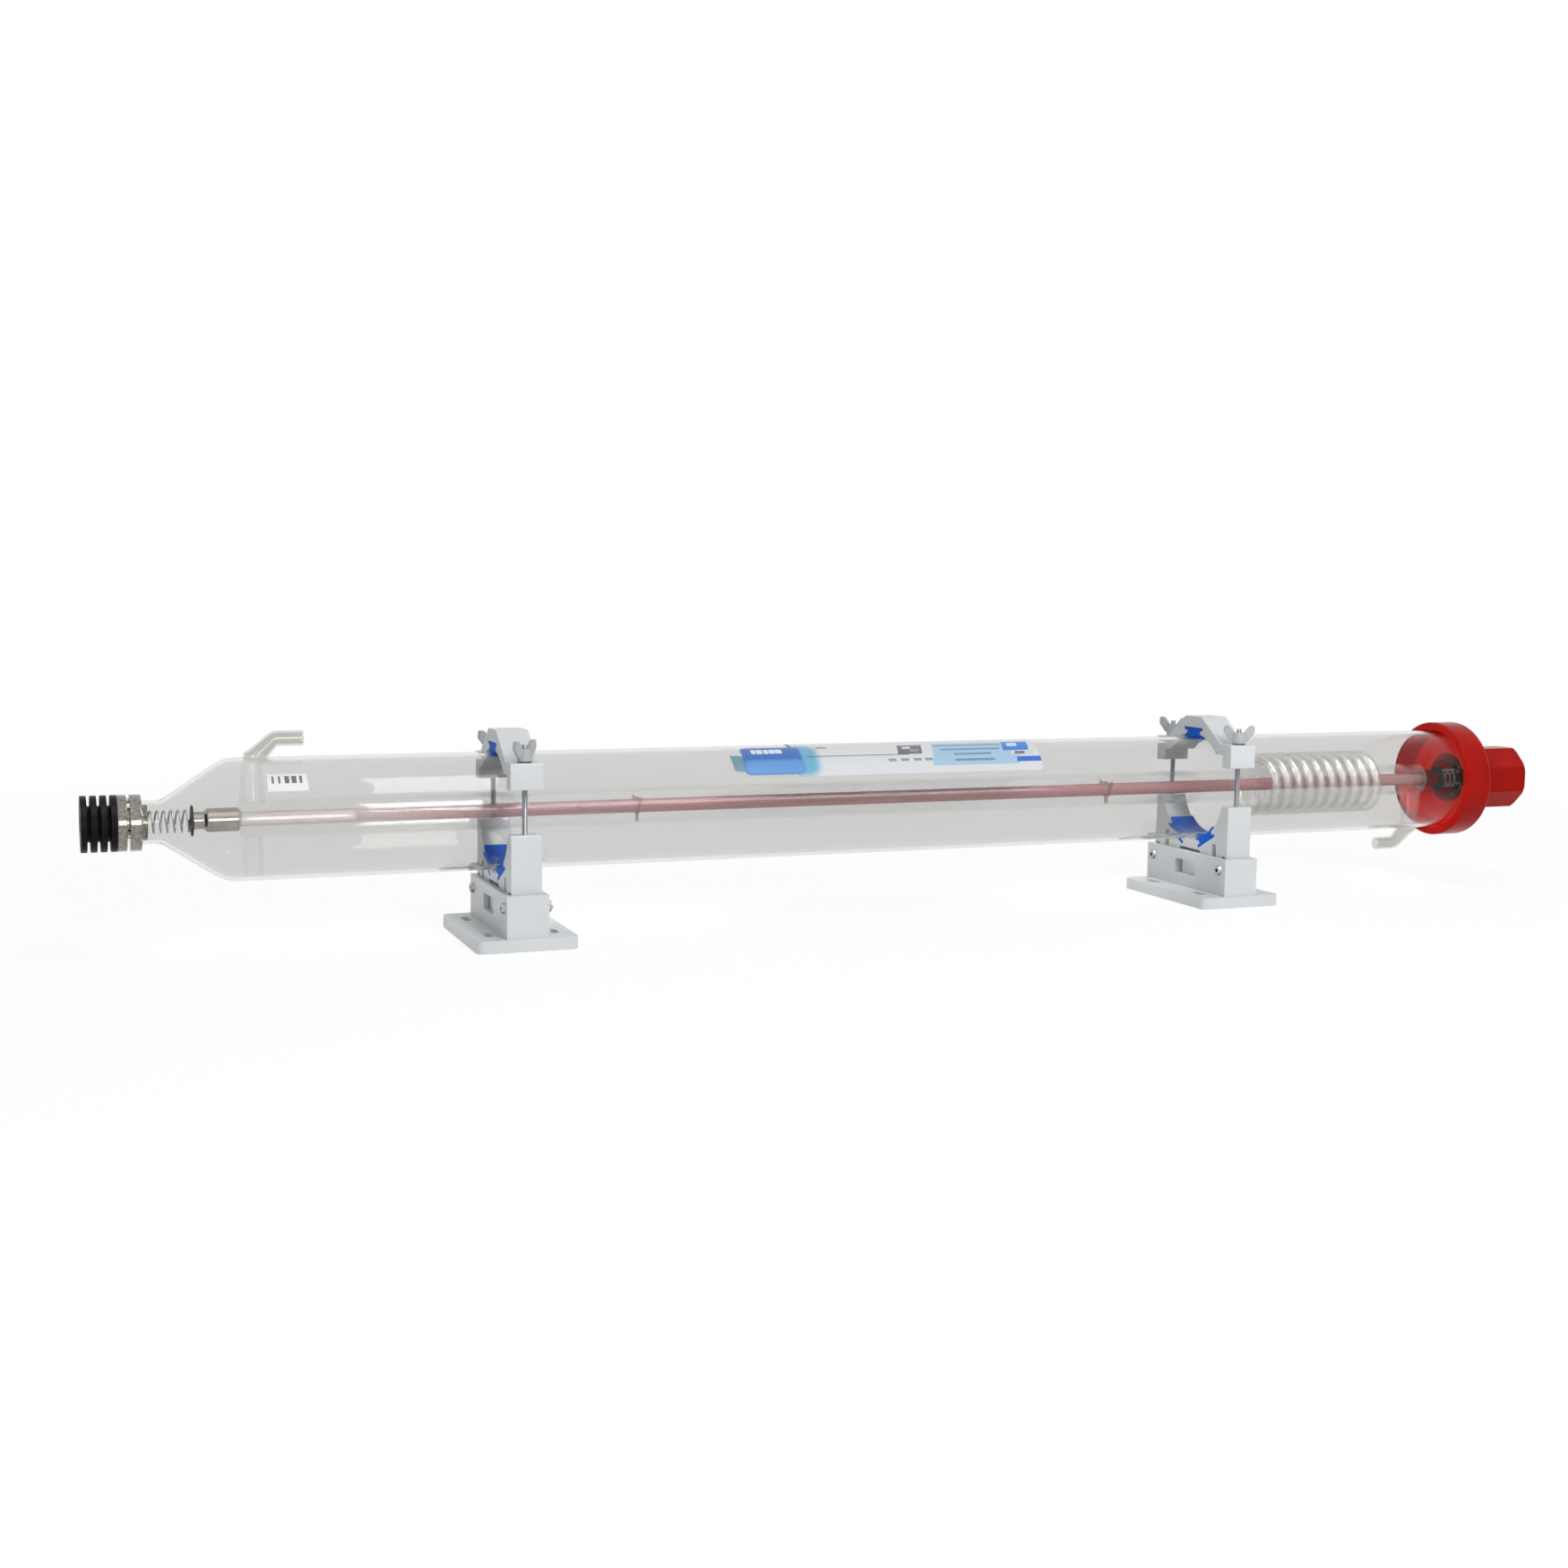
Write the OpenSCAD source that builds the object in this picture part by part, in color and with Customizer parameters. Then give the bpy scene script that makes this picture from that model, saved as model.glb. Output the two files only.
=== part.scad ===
// A glass CO2 laser tube, held in two height-adjustable holders.
// +X runs along the tube from the output end to the anode end and +Z is up. The origin lies on the
// surface under the middle of the tube. Places along the tube are measured from the output face.

/* [Glass] */
// Outer diameter of the outer tube, the gas reservoir
tube_d = 80; // [76:0.5:84]
// Wall of the outer tube
tube_wall = 2.4; // [1.8:0.1:3]
// Length of the outer tube from the output mount to its rear wall
glass_l = 1031.7; // [1000:0.1:1080]
// Outer diameter of the output neck
neck_d = 28; // [27:0.5:32]
// Straight length of the output neck
neck_l = 12.4; // [8:0.1:18]
// Length of the cone from the output neck to the full diameter
cone_l = 38.5; // [32:0.5:40]
// Radius that blends the cone into the full diameter
shoulder_r = 26; // [18:1:32]
// Radius of the rear shoulder
rear_shoulder_r = 11; // [6:0.5:14]
// Outer diameter of the rear neck
rear_neck_d = 30; // [28:0.5:34]
// Length of the rear neck
rear_neck_l = 18; // [14:0.5:24]
// Outer diameter of the water jacket
jacket_d = 25; // [23:0.5:27]
// Wall of the water jacket
jacket_wall = 1.4; // [1:0.1:2]
// Length of jacket past the middle of each water connection
jacket_over = 8.6; // [8.4:0.1:12]
// Outer diameter of the discharge tube
discharge_d = 9.5; // [8.5:0.1:10.5]
// Wall of the discharge tube
discharge_wall = 1.4; // [1:0.1:1.8]
// Length of discharge tube standing out of the jacket at the output end
discharge_out_l = 27.3; // [24:0.1:30]
// Length of discharge tube standing out of the jacket at the anode end
discharge_rear_l = 17; // [14:0.1:18]
// Places of the two spacers that centre the discharge tube, as shares of the jacket's length
spacer_share = [0.2846, 0.6843];
// Thickness of a spacer
spacer_t = 1.2; // [0.8:0.1:2]

/* [Return coil] */
// Distance from the rear wall to the open end of the coil
coil_in = 194.5; // [182:0.5:208]
// Radius from the tube axis to the middle of the coiled glass
coil_r = 21; // [20:0.5:25]
// Outer diameter of the coiled glass
coil_d = 8; // [6:0.5:9]
// Wall of the coiled glass
coil_wall = 1.2; // [0.8:0.1:1.5]
// Advance of the coil in one turn
coil_pitch = 10.7; // [9.5:0.1:11.5]
// Whole turns in the coil, before the part turn that reaches the branch
coil_turns = 10; // [7:1:10]
// Bend radius of the branch that leads the coil into the discharge tube
branch_bend_r = 7; // [6.5:0.5:8]

/* [Water connections] */
// Distance from the output mount to the middle of the upper connection
upper_nozzle_in = 68.8; // [66:0.1:80]
// Distance from the rear wall to the middle of the lower connection
lower_nozzle_in = 37.3; // [36:0.1:44]
// Outer diameter that a water hose pushes over
hose_d = 9.8; // [8:0.1:11]
// Length of the straight end for the hose
hose_l = 16; // [14:0.5:24]
// Outer diameter of the connection where it leaves the outer tube
feed_d = 12.4; // [11.5:0.1:13.5]
// Outer diameter of the connection at its root on the jacket
feed_root_d = 16; // [14:0.5:17]
// Wall of the connections
feed_wall = 1.4; // [1:0.1:2]
// Height from the tube axis to the middle of the straight end
hose_rise = 51.9; // [50.5:0.1:56]
// Bend radius of a water connection where it leaves the outer tube
feed_bend_r = 7.5; // [7:0.1:9]
// Bend radius of a water connection where it levels out
hose_bend_r = 6.3; // [6:0.1:9]
// Outer diameter of the stay under the jacket
stay_d = 12; // [10:0.5:15]

/* [Output head] */
// Diameter of the fins and the mirror mount
head_d = 36; // [34:0.5:40]
// Diameter of the heat sink between its fins
fin_core_d = 23; // [20:0.5:26]
// Number of fins
fin_count = 4; // [3:1:6]
// Thickness of a fin
fin_t = 3.9; // [2:0.1:4.4]
// Length of the heat sink
heat_sink_l = 21.8; // [20:0.1:32]
// Length of the mirror mount
mount_l = 14.5; // [13.5:0.1:18]
// Thickness of the mirror mount's front flange
front_flange_t = 5.7; // [5.3:0.1:7]
// Width of the groove that lets the front flange tilt
mount_groove_w = 1.8; // [1:0.1:2.4]
// Diameter left at the bottom of that groove
mount_waist_d = 20; // [18:0.5:22]
// Length of the mount's spigot inside the glass neck
spigot_l = 3.7; // [2.5:0.1:6]
// Diameter of the hole that the beam leaves by
aperture_d = 12; // [8:0.5:14]
// Diameter of the mirrors
mirror_d = 18.9; // [18:0.1:19.5]
// Thickness of the mirrors
mirror_t = 3; // [2:0.1:3.2]
// Thickness of the ring that seals each mirror
seal_t = 1.8; // [1.4:0.1:2]
// Thread diameter of the small screws in the mirror mounts
screw_d = 3; // [2.5:0.1:3.2]
// Distance from the tube axis to those screws
screw_r = 14; // [13.5:0.1:14.2]

/* [Electrodes] */
// Outer diameter of the electrode barrels
electrode_d = 15.5; // [13:0.5:18]
// Sheet thickness of the electrodes
electrode_wall = 0.8; // [0.6:0.1:1.2]
// Length of the cathode barrel
cathode_l = 19; // [15:0.5:20]
// Length of the anode barrel
anode_l = 8; // [6:0.5:9]
// Length of the electrodes' narrow collar
collar_l = 8.8; // [6:0.1:9.5]
// Diameter of the discs that the springs press on
seat_d = 20; // [17:0.5:21]
// Thickness of those discs
seat_t = 1.2; // [0.8:0.1:2]
// Outer diameter of the contact springs
spring_d = 15; // [13:0.5:17]
// Wire diameter of the contact springs
spring_wire_d = 1.1; // [0.8:0.1:1.4]
// Turns of the cathode spring
cathode_spring_turns = 6; // [4:1:8]
// Turns of the anode spring
anode_spring_turns = 5; // [3:1:6]

/* [Anode end] */
// Length of the rear mirror mount
rear_mount_l = 14; // [12:0.5:16]
// Thickness of the plate that closes the rear mount
rear_cover_t = 6; // [5:0.5:8]
// Length of the terminal for the high-voltage lead
terminal_l = 8; // [6:0.5:10]
// Thread diameter of the terminal
terminal_d = 4; // [3:0.5:5]
// Wall of the red end cap's ring
cap_wall = 6; // [3:0.5:7]
// Length of the end cap's ring
cap_ring_l = 23.5; // [20:0.5:32]
// Width of the cap's eight-sided boss across its flats
boss_w = 49; // [46:0.5:54]
// Length of the boss
boss_l = 54.4; // [50:0.1:60]
// Inner diameter of the boss
boss_bore_d = 41; // [39:0.5:42]
// Thickness of the boss's end wall
boss_end_t = 4; // [3:0.5:6]
// Diameter of the hole for the high-voltage lead
lead_hole_d = 6; // [4:0.5:8]

/* [Labels] */
// Distance from the output face to the printed label
label_at = 426; // [360:1:440]
// Length of the label along the tube
label_l = 258; // [200:1:280]
// Angle from the horizontal front to the label's lower edge
label_low_a = 31; // [25:1:45]
// Angle from the horizontal front to the label's far edge
label_high_a = 118; // [100:1:130]
// Thickness of the label and the sticker
label_t = 0.2; // [0.1:0.05:0.4]
// Distance from the output face to the small sticker
sticker_at = 111.2; // [108:0.1:125]
// Length of the sticker
sticker_l = 25; // [15:0.5:40]
// Angles from the horizontal front to the sticker's lower and upper edges
sticker_a = [31.5, 51];

/* [Holders] */
// Height of the tube axis over the surface
axis_h = 87.5; // [86:0.5:90]
// Distance from the output face to the middle of the left holder
left_holder_at = 273.7; // [240:0.1:300]
// Distance between the middles of the two holders
holder_spacing = 556.2; // [540:0.1:572]
// Free space between the tube and the clamp or cradle, which the pads fill
saddle_gap = 2.4; // [2:0.1:3]
// Length of a base plate along the tube
plate_l = 68.5; // [58:0.5:80]
// How far a base plate stands out past each end of the housing
plate_over = 2; // [0.5:0.5:10]
// Thickness of a base plate
plate_t = 8.5; // [6.5:0.1:9]
// Corner radius of a base plate
plate_corner_r = 5; // [2:0.5:8]
// Height of the housing's top over the surface
housing_h = 36.9; // [35.5:0.1:38]
// Wall of the housing's long sides
housing_side_t = 3.6; // [2.5:0.1:5]
// Wall of the housing's ends
housing_end_t = 4.1; // [3:0.1:4.5]
// Thickness of the floor under the cradle
floor_t = 5.5; // [4:0.1:5.5]
// Length of the cradle along the tube
cradle_l = 20.7; // [18:0.1:24]
// How far each cradle post reaches past the tube's side
post_over = 9.6; // [9.2:0.1:10]
// Free space around the cradle in the housing
slide_gap = 0.3; // [0.2:0.05:0.5]
// Distance from the tube axis down to the tops of the cradle's posts
post_drop = 11.1; // [8:0.1:16]
// How far the tube can be raised or lowered from the middle of its travel
travel = 8; // [5:0.5:8]
// Length of the clamp along the tube
clamp_l = 21.9; // [18:0.1:24]
// How far each clamp ear reaches past the tube's side
ear_over = 11.1; // [9.5:0.1:13]
// Height from the tube axis to the underside of the clamp's ears
ear_low = 18.6; // [15:0.1:22]
// Height from the tube axis to the top of the clamp's ears
ear_high = 36.5; // [34:0.1:38]
// Height of the clamp's flat top over the tube's surface
clamp_rise = 15.2; // [13:0.1:18]
// Half width of the clamp's flat top
clamp_flat = 11; // [8:0.5:12]
// Distance from the tube's side to the middle of each clamp stud
stud_over = 5; // [4.5:0.1:6]
// Thread diameter of the clamp studs and the cradle bolts
stud_d = 4; // [3:0.5:4]
// Distance from the tube's side to the middle of each cradle bolt
bolt_over = 5.5; // [4.5:0.1:6]
// Height of the cradle bolts over the surface
bolt_h = 28; // [27:0.1:29]
// Width of a pad's flanges
pad_w = 24.5; // [20:0.5:25]
// Width of a pad's web
pad_web_w = 18; // [12:0.5:18]
// Height of a pad's hidden flange
pad_flange_t = 2.2; // [1.6:0.1:2.6]
// Thickness of material between the saddle and a pad's hidden flange
pad_web_t = 1.9; // [1.5:0.1:2.5]
// Angle from straight down to the middle of each lower pad
pad_a = 28; // [24:1:34]
// Distance between the plate's slots along the tube
slot_x = 45; // [44:0.5:50]
// Distance between the plate's slots across the tube
slot_y = 63; // [50:0.5:80]
// Width of a slot
slot_w = 5.5; // [4.5:0.1:6]
// Length of a slot
slot_l = 16; // [10:0.5:20]
// Width of the window in the housing's side
window_w = 28; // [22:0.5:34]
// Height of the window
window_h = 11; // [8:0.5:13]
// Height of the window's sill over the surface
window_low = 18.5; // [15:0.5:20]
// Direction of each wing nut's wings: left front, left rear, right front, right rear
wing_a = [40, 20, -32, -60];

/* [Hidden] */
$fn = 72;
eps = 0.01;
seat_gap = 0.1;     // between pieces that are pushed or fused together
cap_gap = 0.4;      // between the outer tube and the end cap
pad_gap = 0.15;     // between a pad and its slot
weld_gap = 0.12;    // between glass pieces that are fused

tube_r = tube_d / 2;
tube_ir = tube_r - tube_wall;
neck_r = neck_d / 2;
rear_neck_r = rear_neck_d / 2;
jacket_r = jacket_d / 2;
discharge_r = discharge_d / 2;
head_r = head_d / 2;
electrode_r = electrode_d / 2;

// Places along the tube, from the output face
mount_at = heat_sink_l;
glass_at = mount_at + mount_l;
cone_at = glass_at + neck_l;
body_at = cone_at + cone_l;
wall_at = glass_at + glass_l;
rear_at = wall_at + rear_neck_l;
rear_cover_at = rear_at + rear_mount_l;
terminal_at = rear_cover_at + rear_cover_t;
cap_inner_at = wall_at + cap_gap;
cap_ring_end = cap_inner_at + cap_wall;
total_l = cap_ring_end + boss_l;
upper_nozzle_at = glass_at + upper_nozzle_in;
lower_nozzle_at = wall_at - lower_nozzle_in;
coil_at = wall_at - coil_in;
jacket_at = upper_nozzle_at - jacket_over;
jacket_end = lower_nozzle_at + jacket_over;
spigot_end = glass_at + spigot_l;
cathode_end = jacket_at - 0.5;
cathode_at = cathode_end - cathode_l - collar_l;
anode_at = jacket_end + 0.5;
anode_end = anode_at + anode_l + collar_l;
rear_spigot_at = rear_at - spigot_l;
mirror_pocket = mirror_t + seal_t;
function x_of(s) = s - total_l / 2;

// Holder sizes
saddle_r = tube_r + saddle_gap;
housing_l = cradle_l + 2 * (slide_gap + housing_side_t);
cradle_w = tube_d + 2 * post_over;
housing_w = cradle_w + 2 * (slide_gap + housing_end_t);
plate_w = housing_w + 2 * plate_over;
clamp_w = tube_d + 2 * ear_over;
stud_y = tube_r + stud_over;
bolt_y = tube_r + bolt_over;
cradle_low = floor_t + travel + 0.5;
post_top = axis_h - post_drop;
bolt_slot_r = stud_d / 2 + 0.3;
stud_root = bolt_h + travel + bolt_slot_r + 8;
clamp_top = tube_r + clamp_rise;
washer_t = 1;
nut_w = 7;
nut_t = 3.2;
stud_top = axis_h + ear_high + washer_t + 11;
groove_d = 6;       // depth of the cradle's grooves
groove_w = 4;
rib_slot_w = 5;
rib_slot_y = 32.5;  // places of the short slots in the cradle

// The coil's last stretch: a bend that turns it towards the discharge tube
branch_a = asin(branch_bend_r / (coil_r - branch_bend_r));
coil_start_a = 215;
branch_up_a = 90;
coil_sweep_a = 360 * coil_turns + (branch_up_a - branch_a + 360 - coil_start_a);
coil_ease_a = 120;
function coil_x(a, pitch, sweep, ease) =
  pitch / 360 * (a - pow(max(0, a - sweep + ease), 2) / (2 * ease));
branch_at = coil_at + coil_x(coil_sweep_a, coil_pitch, coil_sweep_a, coil_ease_a);

function arc(c, r, a0, a1, n) = [for (i = [0:n]) let (a = a0 + (a1 - a0) * i / n) c + r * [cos(a), sin(a)]];
function unit(v) = v / norm(v);
// The arc that replaces corner p of a polygon, tangent to the sides towards q0 and q1
function fillet(q0, p, q1, r) =
  let (
    d0 = unit(q0 - p),
    d1 = unit(q1 - p),
    half = acos(d0 * d1) / 2,
    t = min(r / tan(half), 0.49 * norm(q0 - p), 0.49 * norm(q1 - p)),
    c = p + unit(d0 + d1) * t / cos(half),
    s0 = p + d0 * t - c,
    a0 = atan2(s0[1], s0[0]),
    s1 = p + d1 * t - c,
    turn = atan2(s0[0] * s1[1] - s0[1] * s1[0], s0 * s1)
  )
  arc(c, norm(s0), a0, a0 + turn, 5);
// A polygon's points with each corner rounded by its own radius
function rounded(pts, radii) =
  let (n = len(pts))
  [for (i = [0:n - 1]) each (radii[i] > 0
    ? fillet(pts[(i + n - 1) % n], pts[i], pts[(i + 1) % n], radii[i]) : [pts[i]])];
function mirrored(half) = concat(half, [for (i = [len(half) - 1:-1:0]) [-half[i][0], half[i][1]]]);

// Puts local +Z along the tube, with the local origin on the tube axis
module along(s) {
  translate([x_of(s), 0, axis_h]) rotate([0, 90, 0]) children();
}

// A body of revolution about the tube axis, from points [radius, place along the tube]
module turned(points) {
  along(0) rotate_extrude($fn = 120) polygon(points);
}

module rod(s0, s1, r) {
  along(s0) cylinder(h = s1 - s0, r = r);
}

module three_around(r, at) {
  for (a = [60:120:300]) along(at) rotate([0, 0, a]) translate([r, 0, 0]) children();
}

// A tube of round section wound about the X axis; sides and steps set how round it is
module wound(mean_r, outer_r, bore_r, start_a, sweep, pitch, ease, steps, sides) {
  n = ceil(sweep / 360 * steps);
  function ring(i, w) =
    let (
      a = sweep * i / n,
      out = [0, cos(start_a + a), sin(start_a + a)],
      dx = pitch / 360 * (1 - max(0, a - sweep + ease) / ease) * 180 / PI,
      fwd = unit([dx, -mean_r * out[2], mean_r * out[1]]),
      side = cross(fwd, out),
      mid = [coil_x(a, pitch, sweep, ease), mean_r * out[1], mean_r * out[2]]
    )
    [for (k = [0:sides - 1]) mid + w * (cos(360 * k / sides) * out + sin(360 * k / sides) * side)];
  shell = [for (i = [0:n]) each ring(i, outer_r)];
  bore = bore_r > 0 ? [for (i = [0:n]) each ring(i, bore_r)] : [];
  b = len(shell);
  last = n * sides;
  function wall(from, flip) = [for (i = [0:n - 1], k = [0:sides - 1])
    let (
      p = from + i * sides + k,
      q = from + i * sides + (k + 1) % sides
    )
    each (flip ? [[p, q + sides, p + sides], [p, q, q + sides]]
      : [[p, p + sides, q + sides], [p, q + sides, q]])];
  function annulus(at, flip) = [for (k = [0:sides - 1])
    let (
      p = at + k,
      q = at + (k + 1) % sides
    )
    each (flip ? [[p, b + q, q], [p, b + p, b + q]] : [[p, q, b + q], [p, b + q, b + p]])];
  ends = bore_r > 0 ? concat(annulus(0, false), annulus(last, true))
    : [[for (k = [0:sides - 1]) k], [for (k = [sides - 1:-1:0]) last + k]];
  inner = bore_r > 0 ? wall(b, true) : [];
  polyhedron(concat(shell, bore), concat(wall(0, false), inner, ends), convexity = 20);
}

// Outline of the outer tube, drawn inwards by t from the outer surface
function tube_outline(t) =
  let (
    r0 = neck_r - t,
    r1 = tube_r - t,
    slope = atan2(tube_r - neck_r, cone_l),
    lift = t * (1 - cos(slope)) / sin(slope),
    c0 = cone_at + lift,
    c1 = body_at + lift,
    r2 = rear_neck_r - t,
    w = wall_at - t
  )
  concat(
    [[0, glass_at - (t > 0 ? 1 : 0)], [r0, glass_at - (t > 0 ? 1 : 0)], [r0, c0]],
    fillet([r0, c0], [r1, c1], [r1, w], shoulder_r - t),
    fillet([r1, c1], [r1, w], [0, w], rear_shoulder_r - t),
    [[r2, w], [r2, rear_at + (t > 0 ? 1 : 0)], [0, rear_at + (t > 0 ? 1 : 0)]]
  );

module outer_tube() {
  color([0.85, 0.88, 0.88, 0.3]) difference() {
    turned(tube_outline(0));
    turned(tube_outline(tube_wall));
    translate([x_of(upper_nozzle_at), 0, axis_h]) nozzle_form(-weld_gap, 0);
    translate([x_of(lower_nozzle_at), 0, axis_h]) rotate([0, 180, 0]) nozzle_form(-weld_gap, 0);
  }
}

module water_jacket() {
  ir = jacket_r - jacket_wall;
  end_r = 4;
  hole_r = discharge_r + weld_gap;
  function shell(t) = concat(
    [[0, jacket_at + t]],
    fillet([0, jacket_at + t], [jacket_r - t, jacket_at + t], [jacket_r - t, jacket_end], end_r - t),
    fillet([jacket_r - t, jacket_at], [jacket_r - t, jacket_end - t], [0, jacket_end - t], end_r - t),
    [[0, jacket_end - t]]
  );
  feed_ir = feed_root_d / 2 - feed_wall;
  color([0.8, 0.86, 0.86, 0.3]) difference() {
    turned(shell(0));
    turned(shell(jacket_wall));
    rod(jacket_at - 1, jacket_end + 1, hole_r);
    translate([x_of(upper_nozzle_at), 0, axis_h]) cylinder(h = jacket_d, r = feed_ir);
    translate([x_of(lower_nozzle_at), 0, axis_h - jacket_d]) cylinder(h = jacket_d, r = feed_ir);
    translate([x_of(branch_at), 0, axis_h]) cylinder(h = jacket_d, r = coil_d / 2 + weld_gap);
  }
}

module discharge_tube() {
  bore_r = discharge_r - discharge_wall;
  color([0.75, 0.55, 0.55]) difference() {
    rod(jacket_at - discharge_out_l, jacket_end + discharge_rear_l, discharge_r);
    rod(jacket_at - discharge_out_l - 1, jacket_end + discharge_rear_l + 1, bore_r);
    translate([x_of(branch_at), 0, axis_h]) cylinder(h = jacket_d, r = bore_r - 0.6);
  }
}

// A star-shaped disc: three arms that reach the jacket and leave the water room to pass
module discharge_spacers() {
  arm_w = 4;
  hub_r = discharge_r + 1.6;
  reach = jacket_r - jacket_wall - weld_gap;
  color([0.8, 0.82, 0.82]) for (share = spacer_share)
    along(jacket_at + share * (jacket_end - jacket_at) - spacer_t / 2) difference() {
      union() {
        cylinder(h = spacer_t, r = hub_r);
        intersection() {
          for (a = [0:120:240]) rotate([0, 0, a]) translate([0, -arm_w / 2, 0])
            cube([jacket_r, arm_w, spacer_t]);
          cylinder(h = spacer_t, r = reach);
        }
      }
      translate([0, 0, -1]) cylinder(h = spacer_t + 2, r = discharge_r + weld_gap);
    }
}

module return_coil() {
  color([0.82, 0.86, 0.86, 0.5]) translate([x_of(coil_at), 0, axis_h])
    wound(coil_r, coil_d / 2, coil_d / 2 - coil_wall, coil_start_a, coil_sweep_a, coil_pitch,
      coil_ease_a, 16, 8);
}

// A round bend that starts at the origin towards +Z and turns towards +X
module bend(angle, bend_r, r) {
  translate([bend_r, 0, 0]) rotate([90, 0, 180])
    rotate_extrude(angle = angle) translate([bend_r, 0]) circle(r);
}

// A round bend that comes to the origin heading towards +X, from below
module bend_to(angle, bend_r, r) {
  translate([0, 0, -bend_r]) rotate([90, -90, 0])
    rotate_extrude(angle = angle) translate([bend_r, 0]) circle(r);
}

module coil_branch() {
  // The bend lies across the tube: it meets the coil on one side and runs down to the axis
  knee = (coil_r - branch_bend_r) * cos(branch_a);
  module run(r, extra) {
    translate([0, 0, knee]) rotate([0, 0, 90]) bend(90 + branch_a, branch_bend_r, r);
    translate([0, 0, -extra]) cylinder(h = knee + extra, r = r);
  }
  color([0.82, 0.86, 0.86, 0.5]) translate([x_of(branch_at), 0, axis_h]) difference() {
    run(coil_d / 2, 0);
    run(coil_d / 2 - coil_wall, 1);
    rotate([0, 90, 0]) cylinder(h = coil_d + 2, r = discharge_r + weld_gap, center = true);
  }
}

// A water connection: up from the jacket, out through the outer tube, over to one side
module nozzle_form(t, over) {
  turn = 45;
  bead = 0.05;        // the sloping stretch is this much fuller than the bends
  lap = 0.3;          // how far it reaches into them
  feed_rise = feed_bend_r * sin(turn);
  feed_lean = feed_bend_r * (1 - cos(turn));
  hose_reach = hose_bend_r * sin(turn);
  hose_drop = hose_bend_r * (1 - cos(turn));
  // The lower bend ends, fully over, at the outer surface of the tube
  feed_top = tube_r - feed_rise;
  slant = hose_rise - hose_drop - tube_r;
  slant_l = slant / cos(turn);
  end_x = feed_lean + slant + hose_reach;
  translate([0, 0, jacket_r - 3 - over]) cylinder(h = 3 + over, r = feed_root_d / 2 - t);
  translate([0, 0, jacket_r])
    cylinder(h = feed_top - 4 - jacket_r, r1 = feed_root_d / 2 - t, r2 = feed_d / 2 - t);
  translate([0, 0, feed_top - 4]) cylinder(h = 4, r = feed_d / 2 - t);
  translate([0, 0, feed_top]) bend(turn, feed_bend_r, feed_d / 2 - t);
  translate([feed_lean, 0, tube_r]) rotate([0, turn, 0]) translate([0, 0, -lap])
    cylinder(h = slant_l + 2 * lap, r1 = feed_d / 2 - t + bead, r2 = hose_d / 2 - t + bead);
  translate([end_x, 0, hose_rise]) bend_to(turn, hose_bend_r, hose_d / 2 - t);
  translate([end_x, 0, hose_rise]) rotate([0, 90, 0]) cylinder(h = hose_l + over, r = hose_d / 2 - t);
}

module nozzle() {
  difference() {
    nozzle_form(0, 0);
    nozzle_form(feed_wall, 1);
    rotate([0, 90, 0]) cylinder(h = feed_root_d + 4, r = jacket_r + weld_gap, center = true);
  }
}

module upper_nozzle() {
  color([0.84, 0.87, 0.87, 0.4]) translate([x_of(upper_nozzle_at), 0, axis_h]) nozzle();
}

module lower_nozzle() {
  color([0.84, 0.87, 0.87, 0.4]) translate([x_of(lower_nozzle_at), 0, axis_h]) rotate([0, 180, 0]) nozzle();
}

module jacket_stay() {
  color([0.84, 0.87, 0.87, 0.4]) translate([x_of(upper_nozzle_at), 0, axis_h]) difference() {
    intersection() {
      translate([0, 0, -tube_r]) cylinder(h = tube_r, r = stay_d / 2);
      rotate([0, 90, 0]) cylinder(h = stay_d + 2, r = tube_ir - weld_gap, center = true);
    }
    translate([0, 0, -tube_r - 1]) cylinder(h = tube_r + 2, r = stay_d / 2 - feed_wall);
    rotate([0, 90, 0]) cylinder(h = stay_d + 4, r = jacket_r + weld_gap, center = true);
  }
}

module heat_sink() {
  fin_pitch = (heat_sink_l - fin_t) / (fin_count - 1);
  color([0.08, 0.08, 0.09]) difference() {
    union() {
      rod(0, heat_sink_l, fin_core_d / 2);
      for (i = [0:fin_count - 1]) rod(i * fin_pitch, i * fin_pitch + fin_t, head_r);
    }
    rod(-1, heat_sink_l + 1, aperture_d / 2);
  }
}

module seal_ring(at) {
  color([0.1, 0.1, 0.1]) along(at) rotate_extrude()
    translate([mirror_d / 2 - seal_t / 2 - 0.2, 0]) circle(seal_t / 2 - seat_gap / 2, $fn = 32);
}

module output_seal() {
  seal_ring(mount_at + seal_t / 2);
}

module output_mirror() {
  color([0.8, 0.55, 0.15]) rod(mount_at + seal_t, mount_at + mirror_pocket, mirror_d / 2);
}

// A mirror mount from s0 to s1, with its flexing groove at groove_at and a spigot that reaches spigot_to
module mirror_mount(s0, s1, pocket0, pocket1, groove_at, spigot_to, spigot_r) {
  color([0.75, 0.75, 0.76]) difference() {
    union() {
      rod(s0, s1, head_r);
      rod(min(s0, spigot_to), max(s1, spigot_to), spigot_r);
    }
    along(groove_at) difference() {
      cylinder(h = mount_groove_w, r = head_r + 1);
      translate([0, 0, -1]) cylinder(h = mount_groove_w + 2, r = mount_waist_d / 2);
    }
    rod(min(s0, spigot_to) - 1, max(s1, spigot_to) + 1, aperture_d / 2 - 1);
    rod(pocket0, pocket1, mirror_d / 2 + seat_gap);
    children();
  }
}

screw_head_d = screw_d * 1.8;
screw_head_t = 2.4;

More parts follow.
